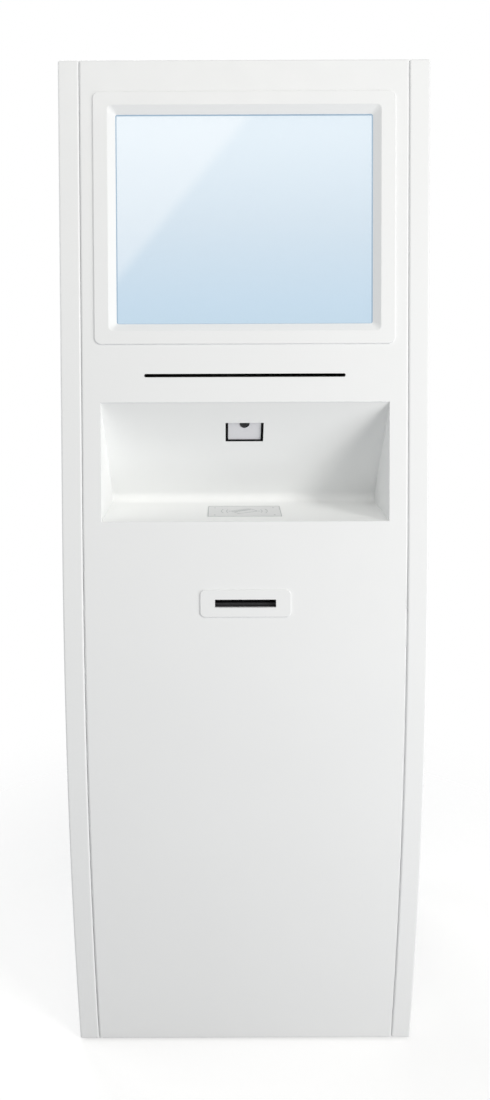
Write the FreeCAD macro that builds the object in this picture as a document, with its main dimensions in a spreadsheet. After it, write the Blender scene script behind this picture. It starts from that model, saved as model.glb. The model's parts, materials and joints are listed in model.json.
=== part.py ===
import FreeCAD, Part
import os
import re

import Sketcher
from FreeCAD import Vector

# Self-service kiosk: white sheet-metal cabinet with a leaning front, touch screen, document slot,
# niche with scanner window and card pad, ticket slot, and a rear service door.
# Millimetres. X to the viewer's right, Y to the rear, Z up, origin on the floor under the middle of the box.

SIZES = {
    # Cabinet
    "width": 550,
    "height": 1540,
    "depth": 500,
    "side_thickness": 31,
    "seam_gap": 0.3,
    "floor_gap": 3,
    "skin": 2,
    "flange_depth": 18,
    "fold_radius": 3,
    "lean_angle": 12.2,
    "arc_radius": 2700,
    "tangent_gap": 17.4,
    "drain_radius": 6,
    "drain_rise": 190,
    "drain_drop": 360,
    "drain_spread": 120,
    "plate_gap": 0.2,
    "running_gap": 0.05,
    "seat_gap": 0.02,
    "cut_overrun": 5,
    # Base tray and feet
    "tray_height": 20,
    "tray_wall": 40,
    "foot_side_inset": 54,
    "foot_front_inset": 51.6,
    "foot_rear_inset": 60.7,
    "foot_radius": 20,
    "foot_thickness": 8,
    "stud_radius": 5,
    "stud_length": 37,
    "collar_radius": 9,
    "collar_thickness": 6,
    "anchor_across": 150,
    "anchor_along": 120,
    "anchor_radius": 6,
    "cable_entry_radius": 30,
    "cable_entry_rear": 60,
    # Rear frame, door, hinges and locks
    "door_margin": 31,
    "door_gap": 2,
    "door_bottom": 133,
    "door_header": 130,
    "door_flange": 15,
    "frame_lip": 12,
    "vent_half": 60,
    "vent_slot": 4,
    "vent_round_share": 0.45,
    "vent_pitch": 14,
    "vent_slots": 8,
    "vent_height": 250,
    "barrel_radius": 4.5,
    "barrel_lift": 0.3,
    "hinge_tall": 70,
    "hinge_inset": 110,
    "knuckle_tall": 24,
    "knuckle_gap": 0.3,
    "leaf_wide": 24,
    "leaf_thickness": 1.8,
    "leaf_gap": 0.5,
    "pin_radius": 2,
    "pin_head_radius": 3.2,
    "pin_head_thickness": 1.2,
    "lock_inset": 28,
    "lock_end_inset": 260,
    "lock_radius": 9.5,
    "lock_head_radius": 12,
    "lock_head_thickness": 3,
    "plug_radius": 6,
    "plug_proud": 0.5,
    "key_wide": 1.6,
    "key_tall": 7,
    "key_deep": 8,
    "cam_gap": 3.6,
    "cam_thickness": 3,
    "cam_half": 8,
    "cam_length": 38,
    # Screen
    "screen_top_gap": 45.2,
    "bezel_margin": 20.25,
    "bezel_tall": 370,
    "bezel_corner": 10,
    "bezel_proud": 2.5,
    "bezel_round": 1.2,
    "bezel_side_border": 21.25,
    "bezel_end_border": 19.5,
    "bevel_corner": 7,
    "bevel_deep": 7.5,
    "bevel_run": 11.5,
    "aperture_corner": 3,
    "aperture_edge": 1,
    "rim_side_inset": 19.25,
    "rim_end_inset": 17.5,
    "rim_deep": 9.5,
    "rim_gap": 1,
    "glass_margin": 5,
    "glass_thickness": 3,
    "lcd_thickness": 12,
    "lcd_edge": 1,
    "housing_deep": 46,
    "post_radius": 6,
    "post_inset": 20,
    "bracket_wide": 30,
    "bracket_leg": 28,
    "bracket_tab": 17,
    "bracket_spread": 100,
    # Niche
    "niche_side": 28.2,
    "niche_gap": 38.5,
    "niche_tall": 174.5,
    "niche_angle": 35.9,
    "niche_corner": 10,
    "niche_lip": 12,
    "window_half": 29.2,
    "window_tall": 38.8,
    "window_rise": 109,
    "scanner_border": 6,
    "scanner_deep": 32,
    "scanner_recess": 4.4,
    "scanner_over": 5,
    "face_side_gap": 4,
    "face_low_gap": 0.4,
    "face_thickness": 2,
    "lens_radius": 7.4,
    "lens_thickness": 1,
    "lens_drop": 5.8,
    "pad_half": 57.5,
    "pad_long": 80,
    "pad_setback": 36,
    "pad_proud": 0.3,
    "reader_border": 6,
    "reader_deep": 28,
    # Document slot, chute and printer
    "slot_half": 150,
    "slot_tall": 5,
    "slot_corner": 2.3,
    "slot_gap": 45.2,
    "chute_tall": 8,
    "chute_wall": 1.5,
    "chute_margin": 4.5,
    "chute_flange": 10,
    "document_shelf_drop": 183,
    "document_shelf_gap": 0.6,
    "document_rear_room": 32.7,
    "document_shelf_wall": 12,
    "printer_half": 175,
    "printer_rear_gap": 10.8,
    "printer_wall": 3,
    "printer_rise": 17,
    "printer_sill": 8,
    "sheet_half": 148.5,
    "sheet_end_gap": 7.5,
    "stack_tall": 40,
    "roller_setback": 20,
    "drive_radius": 8,
    "drive_shaft_radius": 4,
    "pinch_radius": 6,
    "pinch_shaft_radius": 2.5,
    "nip_gap": 0.3,
    "roller_end_gap": 2,
    "cover_axis_setback": 7,
    "cover_axis_drop": 6,
    "cover_pin_radius": 3,
    "cover_tab_half": 4,
    "cover_tab_rear": 12,
    "cover_tab_gap": 0.5,
    "cover_lip": 12,
    # Ticket slot, shelf and printer
    "ticket_gap": 120.5,
    "ticket_bezel_wide": 136.5,
    "ticket_bezel_tall": 41,
    "ticket_bezel_corner": 7.5,
    "ticket_bezel_proud": 2.2,
    "ticket_bezel_round": 0.8,
    "ticket_slot_wide": 92,
    "ticket_slot_tall": 12,
    "ticket_slot_corner": 0.6,
    "ticket_rim": 5,
    "ticket_rim_deep": 8,
    "ticket_shelf_drop": 64.5,
    "ticket_shelf_long": 321,
    "shelf_wall": 15,
    "cutter_half": 56,
    "cutter_front_gap": 2.5,
    "cutter_long": 22,
    "cutter_over": 23,
    "slit_half": 46,
    "slit_tall": 4.4,
    "blade_half": 47.8,
    "blade_tall": 18,
    "blade_thickness": 1.6,
    "blade_drop": 0.8,
    "blade_travel": 9,
    "frame_gap": 3.5,
    "frame_half": 53,
    "frame_wall": 3,
    "frame_long": 86,
    "frame_tall": 108,
    "platen_radius": 7,
    "platen_half": 42,
    "platen_setback": 14,
    "shaft_radius": 3,
    "gear_module": 1,
    "gear_root_share": 1.25,
    "tooth_sink_share": 0.25,
    "gear_start": 2,
    "gear_thickness": 6,
    "tooth_root": 1.7,
    "tooth_tip": 0.6,
    "platen_teeth": 24,
    "idler_teeth": 20,
    "pinion_teeth": 12,
    "idler_drop_angle": 30,
    "pinion_drop_angle": 20,
    "axle_radius": 2,
    "motor_size": 35,
    "motor_long": 30,
    "motor_shaft_radius": 2.5,
    "motor_shaft_hold": 19,
    "head_half": 42,
    "head_long": 14,
    "head_tall": 10.4,
    "lever_half": 47,
    "lever_long": 66,
    "lever_thickness": 3,
    "lever_handle_half": 10,
    "lever_handle_tall": 17,
    "button_hole_height": 23,
    "button_across": 30,
    "button_stem_radius": 4,
    "button_cap_radius": 6.5,
    "button_cap_tall": 4,
    "button_stroke_room": 2,
    "button_inside": 5,
    "collar_tall": 1.5,
    "roll_radius": 50,
    "roll_half": 40,
    "roll_setback": 68,
    "roll_rise": 68,
    "spindle_radius": 6,
    "arm_gap": 5,
    "arm_thickness": 3,
    "arm_half": 15,
    "arm_over": 12,
    "roll_base_half": 20,
    # Electronics
    "equipment_shelf_height": 330,
    "equipment_rear_room": 33.7,
    "computer_margin": 83.8,
    "computer_wide": 210,
    "cover_slot_margin": 52.5,
    "computer_front": -40,
    "computer_long": 190,
    "computer_tall": 55,
    "computer_wall": 1.5,
    "port_wide": 16,
    "port_tall": 14,
    "port_pitch": 26,
    "port_count": 5,
    "computer_button_inset": 22,
    "computer_button_radius": 4,
    "computer_cap_radius": 6,
    "supply_margin": 65.8,
    "supply_wide": 98,
    "supply_front": -20,
    "supply_long": 160,
    "supply_tall": 40,
    "supply_step": 12,
    "supply_slot": 3,
    "supply_slot_pitch": 12,
    "supply_slot_count": 8,
    "supply_slot_long": 70,
    "supply_slot_deep": 4,
    "inlet_across": -120,
    "inlet_height": 85,
    "inlet_wide": 70,
    "inlet_tall": 30,
    "inlet_flange": 3,
    "inlet_flange_thickness": 2,
    "inlet_deep": 26,
    "socket_wide": 34,
    "socket_tall": 21,
    "socket_deep": 17,
    "socket_shift": 12,
    "socket_pin_wide": 4,
    "socket_pin_thickness": 2,
    "socket_pin_pitch": 7,
    "socket_pin_step": 4,
    "rocker_shift": 22,
    "rocker_half": 8,
    "rocker_tall": 22,
    "rocker_deep": 10,
    "rocker_side_gap": 0.4,
    "rocker_end_gap": 1.5,
    "rocker_well": 15,
    "rocker_pivot_depth": 2,
    "rocker_pin_radius": 1.5,
    "rocker_pin_hold": 1.8,
    # Fan
    "fan_size": 80,
    "fan_deep": 25,
    "fan_bore_radius": 38,
    "fan_hub_radius": 15,
    "fan_hub_thickness": 3,
    "fan_strut": 4,
    "fan_shaft_radius": 2,
    "rotor_gap": 0.5,
    "rotor_radius": 36,
    "rotor_hub_radius": 14,
    "rotor_deep": 18,
    "blade_count": 7,
    "blade_angle": 38,
    "vane_thickness": 1.6,
    "vane_wide": 22,
    "guard_thickness": 1.5,
    "guard_wire": 1.8,
    "guard_ring_pitch": 9,
    "guard_rings": 4,
    "screw_across": 35.75,
    "screw_radius": 2,
    "screw_head_radius": 3.6,
    "screw_head_thickness": 2.2,
    "screw_length": 16,
}

FITS = {
    # Places down the front, from the top
    "screen_height": "height - screen_top_gap - bezel_tall / 2 * cos(lean_angle)",
    "slot_height": "screen_height - bezel_tall / 2 * cos(lean_angle) - slot_gap",
    "niche_top": "slot_height - niche_gap",
    "niche_low": "niche_top - niche_tall",
    "ticket_height": "niche_low - ticket_gap",
    # Front surface
    "nose_y": "-depth / 2",
    "arc_y": "nose_y + arc_radius",
    "tangent_z": "niche_low - tangent_gap",
    "nose_height": "tangent_z - arc_radius * sin(lean_angle)",
    "tangent_y": "arc_y - arc_radius * cos(lean_angle)",
    "face_y": "tangent_y - tangent_z * tan(lean_angle)",
    # Cabinet
    "seam_half": "width / 2 - side_thickness",
    "panel_half": "seam_half - seam_gap",
    "shelf_half": "seam_half - plate_gap",
    "rear_face": "depth / 2 - 2 * barrel_radius - barrel_lift",
    "rear_inside": "rear_face - skin",
    "frame_top": "height - flange_depth - seam_gap",
    "stud_top": "foot_thickness + stud_length",
    "tray_front": "arc_y - sqrt((arc_radius - flange_depth)^2 - (floor_gap - nose_height)^2) + seam_gap",
    "foot_across": "seam_half - foot_side_inset",
    "foot_front_y": "tray_front + foot_front_inset",
    "foot_rear_y": "rear_face - foot_rear_inset",
    # Rear opening
    "door_half": "seam_half - door_margin",
    "door_top": "height - door_header",
    "opening_half": "door_half + door_gap",
    "opening_bottom": "door_bottom - door_gap",
    "opening_top": "door_top + door_gap",
    "hinge_x": "door_half + door_gap / 2",
    "hinge_y": "rear_face + barrel_lift + barrel_radius",
    "lock_x": "lock_inset - door_half",
    "cam_rear": "rear_face - door_flange - cam_gap",
    "cam_front": "cam_rear - cam_thickness",
    # Screen, in the frame of the leaning face
    "bezel_wide": "2 * (seam_half - bezel_margin)",
    "bevel_wide": "bezel_wide - 2 * bezel_side_border",
    "bevel_tall": "bezel_tall - 2 * bezel_end_border",
    "aperture_wide": "bevel_wide - 2 * bevel_run",
    "aperture_tall": "bevel_tall - 2 * bevel_run",
    "rim_wide": "bezel_wide - 2 * rim_side_inset",
    "rim_tall": "bezel_tall - 2 * rim_end_inset",
    "screen_y": "face_y + screen_height * tan(lean_angle)",
    "rim_opening_half": "rim_wide / 2 + rim_gap",
    "rim_opening_rise": "(rim_tall / 2 + rim_gap) * cos(lean_angle)",
    "glass_wide": "aperture_wide + 2 * glass_margin",
    "glass_tall": "aperture_tall + 2 * glass_margin",
    "glass_front": "bezel_proud - bevel_deep - aperture_edge",
    "glass_rear": "glass_front - glass_thickness",
    "lcd_rear": "glass_rear - lcd_thickness",
    "housing_rear": "-rim_deep - housing_deep",
    # Niche
    "niche_half": "seam_half - niche_side",
    "niche_top_y": "face_y + niche_top * tan(lean_angle)",
    "niche_front_y": "face_y + niche_low * tan(lean_angle)",
    "niche_rear_y": "niche_top_y + niche_tall * tan(niche_angle)",
    "window_z": "niche_low + window_rise + window_tall / 2 * cos(niche_angle)",
    "window_y": "niche_top_y + (niche_top - window_z) * tan(niche_angle)",
    "window_rise_half": "window_tall / 2 * cos(niche_angle)",
    "recess_floor": "-skin - scanner_recess",
    "pad_front": "niche_front_y + pad_setback",
    "pad_rear": "pad_front + pad_long",
    # Document printer
    "chute_half": "slot_half + chute_margin + chute_wall",
    "document_shelf_height": "slot_height - document_shelf_drop",
    "niche_back_y": "niche_rear_y + skin * tan(niche_angle) + skin / cos(niche_angle)"
                    " - (niche_corner + skin) * (1 / tan(45 - niche_angle / 2) - 1)",
    "document_shelf_front": "niche_back_y + document_shelf_gap",
    "document_shelf_rear": "rear_inside - document_rear_room",
    "printer_low": "document_shelf_height + skin",
    "printer_front": "document_shelf_front + skin + plate_gap",
    "printer_rear": "document_shelf_rear - printer_rear_gap",
    "sheet_long": "printer_rear - printer_front - 2 * sheet_end_gap",
    "printer_top": "slot_height + printer_rise",
    "printer_inside_half": "printer_half - printer_wall",
    "roller_y": "printer_front + roller_setback",
    "drive_z": "slot_height - drive_radius - nip_gap / 2",
    "pinch_z": "slot_height + pinch_radius + nip_gap / 2",
    "roller_half": "printer_inside_half - cover_tab_gap - printer_wall - roller_end_gap",
    "cover_low": "printer_top + plate_gap",
    "cover_axis_y": "printer_front + cover_axis_setback",
    "cover_axis_z": "printer_top - cover_axis_drop",
    # Ticket printer
    "ticket_y": "arc_y - sqrt(arc_radius^2 - (ticket_height - nose_height)^2)",
    "ticket_tilt_sine": "(ticket_height - nose_height) / arc_radius",
    "ticket_rim_half": "ticket_slot_wide / 2 + ticket_rim",
    "ticket_rim_rise": "ticket_slot_tall / 2 + ticket_rim",
    "ticket_shelf_height": "ticket_height - ticket_shelf_drop",
    "bench_z": "ticket_shelf_height + skin",
    "cutter_front": "ticket_y + ticket_rim_deep + cutter_front_gap",
    "cutter_rear": "cutter_front + cutter_long",
    "ticket_shelf_front": "arc_y - sqrt((arc_radius - flange_depth)^2 - (bench_z - nose_height)^2) + plate_gap",
    "blade_y": "cutter_front + cutter_long / 2",
    "slit_low": "ticket_height - slit_tall / 2",
    "slit_top": "ticket_height + slit_tall / 2",
    "frame_front": "cutter_rear + frame_gap",
    "frame_rear": "frame_front + frame_long",
    "frame_inside": "frame_half - frame_wall",
    "platen_y": "frame_front + platen_setback",
    "platen_z": "ticket_height - platen_radius - nip_gap / 2",
    "idler_y": "platen_y + gear_module * (platen_teeth + idler_teeth) / 2 * cos(idler_drop_angle)",
    "idler_z": "platen_z - gear_module * (platen_teeth + idler_teeth) / 2 * sin(idler_drop_angle)",
    "pinion_y": "idler_y + gear_module * (idler_teeth + pinion_teeth) / 2 * cos(pinion_drop_angle)",
    "pinion_z": "idler_z - gear_module * (idler_teeth + pinion_teeth) / 2 * sin(pinion_drop_angle)",
    "gear_low": "frame_half + gear_start",
    "gear_high": "gear_low + gear_thickness",
    "platen_phase": "90",
    "idler_phase": "180 - idler_drop_angle - (180 + (idler_drop_angle + platen_phase) * platen_teeth)"
                   " / idler_teeth",
    "pinion_phase": "180 - pinion_drop_angle - (180 + (pinion_drop_angle + idler_phase) * idler_teeth)"
                    " / pinion_teeth",
    "head_low": "ticket_height + nip_gap / 2",
    "lever_low": "head_low + head_tall",
    "lever_y": "platen_y - head_long / 2 + lever_long",
    "lever_z": "lever_low + lever_thickness / 2",
    "button_z": "bench_z + button_hole_height",
    "roll_y": "frame_rear + roll_setback",
    "roll_z": "bench_z + roll_rise",
    "arm_inside": "roll_half + arm_gap",
    "arm_outside": "arm_inside + arm_thickness",
    # Electronics
    "equipment_z": "equipment_shelf_height + skin",
    "equipment_shelf_front": "max(arc_y - sqrt((arc_radius - flange_depth)^2 - (equipment_z - nose_height)^2);"
                             " arc_y - sqrt((arc_radius - flange_depth)^2"
                             " - (equipment_z - shelf_wall - skin - nose_height)^2)) + plate_gap",
    "equipment_shelf_rear": "rear_inside - equipment_rear_room",
    "computer_left": "computer_margin - shelf_half",
    "computer_right": "computer_left + computer_wide",
    "computer_rear": "computer_front + computer_long",
    "computer_top": "equipment_z + computer_tall",
    "computer_button_x": "computer_right - computer_button_inset",
    "computer_button_z": "equipment_z + computer_tall / 2",
    "supply_left": "shelf_half - supply_margin - supply_wide",
    "socket_x": "inlet_across - socket_shift",
    "rocker_x": "inlet_across + rocker_shift",
    "rocker_y": "rear_face - rocker_pivot_depth",
    "rocker_well_half": "rocker_half + rocker_side_gap",
    "rocker_well_rise": "rocker_tall / 2 + rocker_end_gap",
    # Fan
    "fan_z": "(opening_top + frame_top) / 2",
    "fan_front": "rear_inside - fan_deep",
    "rotor_front": "fan_front + fan_hub_thickness + rotor_gap",
    "rotor_rear": "rotor_front + rotor_deep",
    "guard_rear": "rear_face + guard_thickness",
    "guard_radius": "guard_rings * guard_ring_pitch + guard_wire",
}

doc = FreeCAD.newDocument("kiosk")
sizes = doc.addObject("Spreadsheet::Sheet", "sizes")
fits = doc.addObject("Spreadsheet::Sheet", "fits")
reading = doc.addObject("Spreadsheet::Sheet", "reading")
sheet_of = {name: "sizes." for name in SIZES}
nodes = {}


def bound(formula):
    """The formula with each size name led by the sheet that holds it"""
    return re.sub(r"[a-z_]+", lambda word: sheet_of.get(word.group(), "") + word.group(), formula)


def fill_sheets():
    """Write the driving sizes, then the fitted sizes worked out from them"""
    for row, (name, size) in enumerate(SIZES.items(), start=1):
        sizes.set("A%d" % row, name)
        sizes.set("B%d" % row, str(size))
        sizes.setAlias("B%d" % row, name)
    doc.recompute()
    for row, (name, formula) in enumerate(FITS.items(), start=1):
        fits.set("A%d" % row, name)
        fits.set("B%d" % row, "=" + bound(formula))
        fits.setAlias("B%d" % row, name)
    doc.recompute()
    sheet_of.update({name: "fits." for name in FITS})


def number(formula):
    """Present value of a formula"""
    reading.set("A1", "=" + bound(formula))
    reading.recompute()
    found = reading.get("A1")
    return float(getattr(found, "Value", found))


def bind(thing, place, formula):
    thing.setExpression(place, bound(formula))


def node(name, thing):
    """Register a finished sub-part under the name of its file"""
    thing.Label = name
    nodes[name] = thing
    return thing


def lean_at(height, inset="0"):
    """Y of the leaning flat front at a height, set in by a thickness"""
    return f"(face_y + ({height}) * tan(lean_angle) + ({inset}) / cos(lean_angle))"


def arc_at(height, inset="0"):
    """Y of the bowed lower front at a height, set in by a thickness"""
    return f"(arc_y - sqrt((arc_radius - ({inset}))^2 - (({height}) - nose_height)^2))"


# Primitive solids and booleans

def box(x, y, z):
    """Block between a low and a high formula on each axis"""
    block = doc.addObject("Part::Box", "block")
    for side, axis, (low, high) in (("Length", "x", x), ("Width", "y", y), ("Height", "z", z)):
        bind(block, side, f"({high}) - ({low})")
        bind(block, "Placement.Base." + axis, low)
    return block


def rod(axis, radius, ends, first, second):
    """Round bar along an axis between two ends; first and second are its other two coordinates"""
    bar = doc.addObject("Part::Cylinder", "bar")
    low, high = ends
    bind(bar, "Radius", radius)
    bind(bar, "Height", f"({high}) - ({low})")
    start, turn = {
        "x": ((low, first, second), "rotation(vector(0; 1; 0); 90)"),
        "y": ((first, low, second), "rotation(vector(1; 0; 0); -90)"),
        "z": ((first, second, low), "rotation(vector(0; 0; 1); 0)"),
    }[axis]
    bind(bar, "Placement", "placement(vector(%s; %s; %s); %s)" % (*start, turn))
    return bar


def join(*solids):
    """One solid made of touching or overlapping solids"""
    whole = doc.addObject("Part::MultiFuse", "joined")
    whole.Shapes = list(solids)
    whole.Refine = True
    return whole


def group(*solids):
    """Separate solids kept together"""
    bunch = doc.addObject("Part::Compound", "bunch")
    bunch.Links = list(solids)
    return bunch


def cut(solid, *tools):
    """Solid less the tools"""
    rest = doc.addObject("Part::Cut", "cut")
    rest.Base = solid
    rest.Tool = tools[0] if len(tools) == 1 else join(*tools)
    return rest


def pan(x, y, z, wall, opens):
    """Thin-walled tray between low and high formulas, open at one end of one axis"""
    spans = {"x": x, "y": y, "z": z}
    inner = {axis: (f"{low} + {wall}", f"{high} - {wall}") for axis, (low, high) in spans.items()}
    low, high = spans[opens[1]]
    if opens[0] == "+":
        inner[opens[1]] = (f"{low} + {wall}", f"{high} + cut_overrun")
    else:
        inner[opens[1]] = (f"{low} - cut_overrun", f"{high} - {wall}")
    return cut(box(x, y, z), box(inner["x"], inner["y"], inner["z"]))


def place(thing, x, y, z, turn):
    """Set a sub-part that was made flat at a place, turned about X by a formula in degrees"""
    bind(thing, "Placement", f"placement(vector({x}; {y}; {z}); rotation(vector(1; 0; 0); {turn}))")
    return thing


# Sketched bodies

def new_body(name):
    """Body that is a sub-part by itself"""
    return node(name, doc.addObject("PartDesign::Body", name))


def new_sketch(body, role, height="0"):
    """Sketch on one of the body's own origin planes, raised along the plane's normal"""
    sketch = body.newObject("Sketcher::SketchObject", "profile")
    plane = next(item for item in body.Origin.OriginFeatures if item.Role == role)
    sketch.AttachmentSupport = (plane, [""])
    sketch.MapMode = "FlatFace"
    bind(sketch, "AttachmentOffset.Base.z", height)
    return sketch


def pin(sketch, part, point, x=None, y=None):
    """Hold a sketch point at formulas measured from the sketch's origin"""
    for kind, formula in (("DistanceX", x), ("DistanceY", y)):
        if formula is not None:
            rule = sketch.addConstraint(Sketcher.Constraint(kind, -1, 1, part, point, number(formula)))
            bind(sketch, "Constraints[%d]" % rule, formula)


def set_radius(sketch, part, formula):
    rule = sketch.addConstraint(Sketcher.Constraint("Radius", part, number(formula)))
    bind(sketch, "Constraints[%d]" % rule, formula)


def spot(x, y):
    return Vector(number(x), number(y), 0)


def polygon(sketch, points):
    """Closed straight-sided outline through points given as pairs of formulas"""
    spots = [spot(x, y) for x, y in points]
    sides = [sketch.addGeometry(Part.LineSegment(start, end), False)
             for start, end in zip(spots, spots[1:] + spots[:1])]
    for side, following in zip(sides, sides[1:] + sides[:1]):
        sketch.addConstraint(Sketcher.Constraint("Coincident", side, 2, following, 1))
    for side, (x, y) in zip(sides, points):
        pin(sketch, side, 1, x, y)


def rectangle(sketch, x, y):
    (left, right), (low, top) = x, y
    polygon(sketch, [(left, low), (right, low), (right, top), (left, top)])


def rounded_rectangle(sketch, x, y, corner):
    """Rectangle between formulas with four equal round corners"""
    (left, right), (low, top) = [[number(end) for end in span] for span in (x, y)]
    radius = number(corner)
    centres = [(right - radius, low + radius), (right - radius, top - radius),
               (left + radius, top - radius), (left + radius, low + radius)]
    starts = [(left + radius, low), (right, low + radius), (right - radius, top), (left, top - radius)]
    ends = [(right - radius, low), (right, top - radius), (left + radius, top), (left, low + radius)]
    sides = []
    arcs = []
    for turn, (start, end, centre) in enumerate(zip(starts, ends, centres)):
        side = Part.LineSegment(Vector(*start, 0), Vector(*end, 0))
        sides.append(sketch.addGeometry(side, False))
        quarter = Part.Circle(Vector(*centre, 0), Vector(0, 0, 1), radius)
        arc = Part.ArcOfCircle(quarter, quarter.parameter(Vector(*end, 0)),
                               quarter.parameter(Vector(*starts[(turn + 1) % 4], 0)))
        arcs.append(sketch.addGeometry(arc, False))
    for turn, (side, arc) in enumerate(zip(sides, arcs)):
        sketch.addConstraint(Sketcher.Constraint("Tangent", side, 2, arc, 1))
        sketch.addConstraint(Sketcher.Constraint("Tangent", arc, 2, sides[(turn + 1) % 4], 1))
        sketch.addConstraint(Sketcher.Constraint(("Horizontal", "Vertical")[turn % 2], side))
    for arc in arcs[1:]:
        sketch.addConstraint(Sketcher.Constraint("Equal", arcs[0], arc))
    set_radius(sketch, arcs[0], corner)
    pin(sketch, sides[0], 1, y=y[0])
    pin(sketch, sides[1], 1, x=x[1])
    pin(sketch, sides[2], 1, y=y[1])
    pin(sketch, sides[3], 1, x=x[0])


def circle(sketch, x, y, radius):
    ring = sketch.addGeometry(Part.Circle(spot(x, y), Vector(0, 0, 1), number(radius)), False)
    pin(sketch, ring, 3, x, y)
    set_radius(sketch, ring, radius)


def front_edge(sketch, inset, low, high):
    """Bowed lower stretch and leaning upper stretch of the front, set in from the outer face"""
    radius = f"arc_radius - ({inset})"
    round_front = Part.Circle(spot("arc_y", "nose_height"), Vector(0, 0, 1), number(radius))
    joint = spot(f"arc_y - ({radius}) * cos(lean_angle)", f"nose_height + ({radius}) * sin(lean_angle)")
    foot = spot(arc_at(low, inset), low)
    bow = Part.ArcOfCircle(round_front, round_front.parameter(joint), round_front.parameter(foot))
    arc = sketch.addGeometry(bow, False)
    line = sketch.addGeometry(Part.LineSegment(joint, spot(lean_at(high, inset), high)), False)
    pin(sketch, arc, 3, "arc_y", "nose_height")
    set_radius(sketch, arc, radius)
    pin(sketch, arc, 1, y=f"nose_height + ({radius}) * sin(lean_angle)")
    pin(sketch, arc, 2, y=low)
    sketch.addConstraint(Sketcher.Constraint("Coincident", arc, 1, line, 1))
    pin(sketch, line, 2, lean_at(high, inset), high)
    return arc, line


def chain(sketch, start, corners, end):
    """Straight sides from one outline end through corners to another outline end"""
    spots = [sketch.getPoint(*start), *(spot(x, y) for x, y in corners), sketch.getPoint(*end)]
    previous = start
    for index, (near, far) in enumerate(zip(spots, spots[1:])):
        side = sketch.addGeometry(Part.LineSegment(near, far), False)
        sketch.addConstraint(Sketcher.Constraint("Coincident", *previous, side, 1))
        if index < len(corners):
            pin(sketch, side, 2, *corners[index])
        else:
            sketch.addConstraint(Sketcher.Constraint("Coincident", side, 2, *end))
        previous = (side, 2)


def cabinet_outline(sketch, inset):
    """Side view of the cabinet, set in by a thickness"""
    low = f"floor_gap + ({inset})"
    high = f"height - ({inset})"
    rear = f"rear_face - ({inset})"
    arc, line = front_edge(sketch, inset, low, high)
    chain(sketch, (line, 2), [(rear, high), (rear, low)], (arc, 2))


def front_band(sketch, outer, inner, low, high):
    """Side view of a sheet that follows the front between two depths"""
    outer_arc, outer_line = front_edge(sketch, outer, low, high)
    inner_arc, inner_line = front_edge(sketch, inner, low, high)
    chain(sketch, (outer_line, 2), [], (inner_line, 2))
    chain(sketch, (outer_arc, 2), [], (inner_arc, 2))


def extrude(body, kind, sketch, length, reverse=False, both=False):
    """Pad or Pocket of a sketch; a length of None goes through everything"""
    step = body.newObject("PartDesign::" + kind, kind.lower())
    step.Profile = sketch
    step.SideType = "Symmetric" if both else "One side"
    step.Reversed = reverse
    if length is None:
        step.Type = "ThroughAll"
    else:
        bind(step, "Length", length)
    return step


def pad(body, sketch, length, reverse=False, both=False):
    step = extrude(body, "Pad", sketch, length, reverse, both)
    doc.recompute()
    return step


def pocket(body, sketch, length=None, reverse=False, both=False):
    """Pocket that must take material away"""
    before = body.Shape.Volume
    step = extrude(body, "Pocket", sketch, length, reverse, both)
    doc.recompute()
    if not body.Shape.Volume < before:
        raise ValueError("a pocket of %s cuts nothing" % body.Label)
    return step


def round_edges(body, radius, wanted):
    """Fillet on the edges of the body's last step that pass a test of their middle point"""
    base = body.Tip
    names = ["Edge%d" % index for index, edge in enumerate(base.Shape.Edges, start=1)
             if wanted(edge.valueAt((edge.FirstParameter + edge.LastParameter) / 2), edge)]
    step = body.newObject("PartDesign::Fillet", "rounding")
    step.Base = (base, names)
    bind(step, "Radius", radius)
    doc.recompute()
    return step


def near(first, second):
    """True when two lengths agree to a small share of the cabinet's height"""
    agreement_share = 1e-6
    return abs(first - second) < number("height") * agreement_share


# Cabinet shell

def side_panel(name, left):
    """Closed folded box with the cabinet's side outline"""
    body = new_body(name)
    outside = new_sketch(body, "YZ_Plane", left)
    cabinet_outline(outside, "0")
    pad(body, outside, "side_thickness")
    joint_z = number("tangent_z")
    round_edges(body, "fold_radius", lambda middle, edge: not (
        near(middle.z, joint_z) and near(edge.BoundBox.YLength, 0)))
    hollow = new_sketch(body, "YZ_Plane", f"{left} + skin")
    cabinet_outline(hollow, "skin")
    pocket(body, hollow, "side_thickness - 2 * skin", reverse=True)
    return body


def side_drains(body, inner, outward):
    """Three small round drain holes through the inner skin of a side panel"""
    holes = new_sketch(body, "YZ_Plane", inner)
    for y, z in (("-drain_spread", "drain_rise"), ("drain_spread", "drain_rise"),
                 ("drain_spread", "height - drain_drop")):
        circle(holes, y, z, "drain_radius")
    pocket(body, holes, "skin + cut_overrun", reverse=outward)


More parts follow.
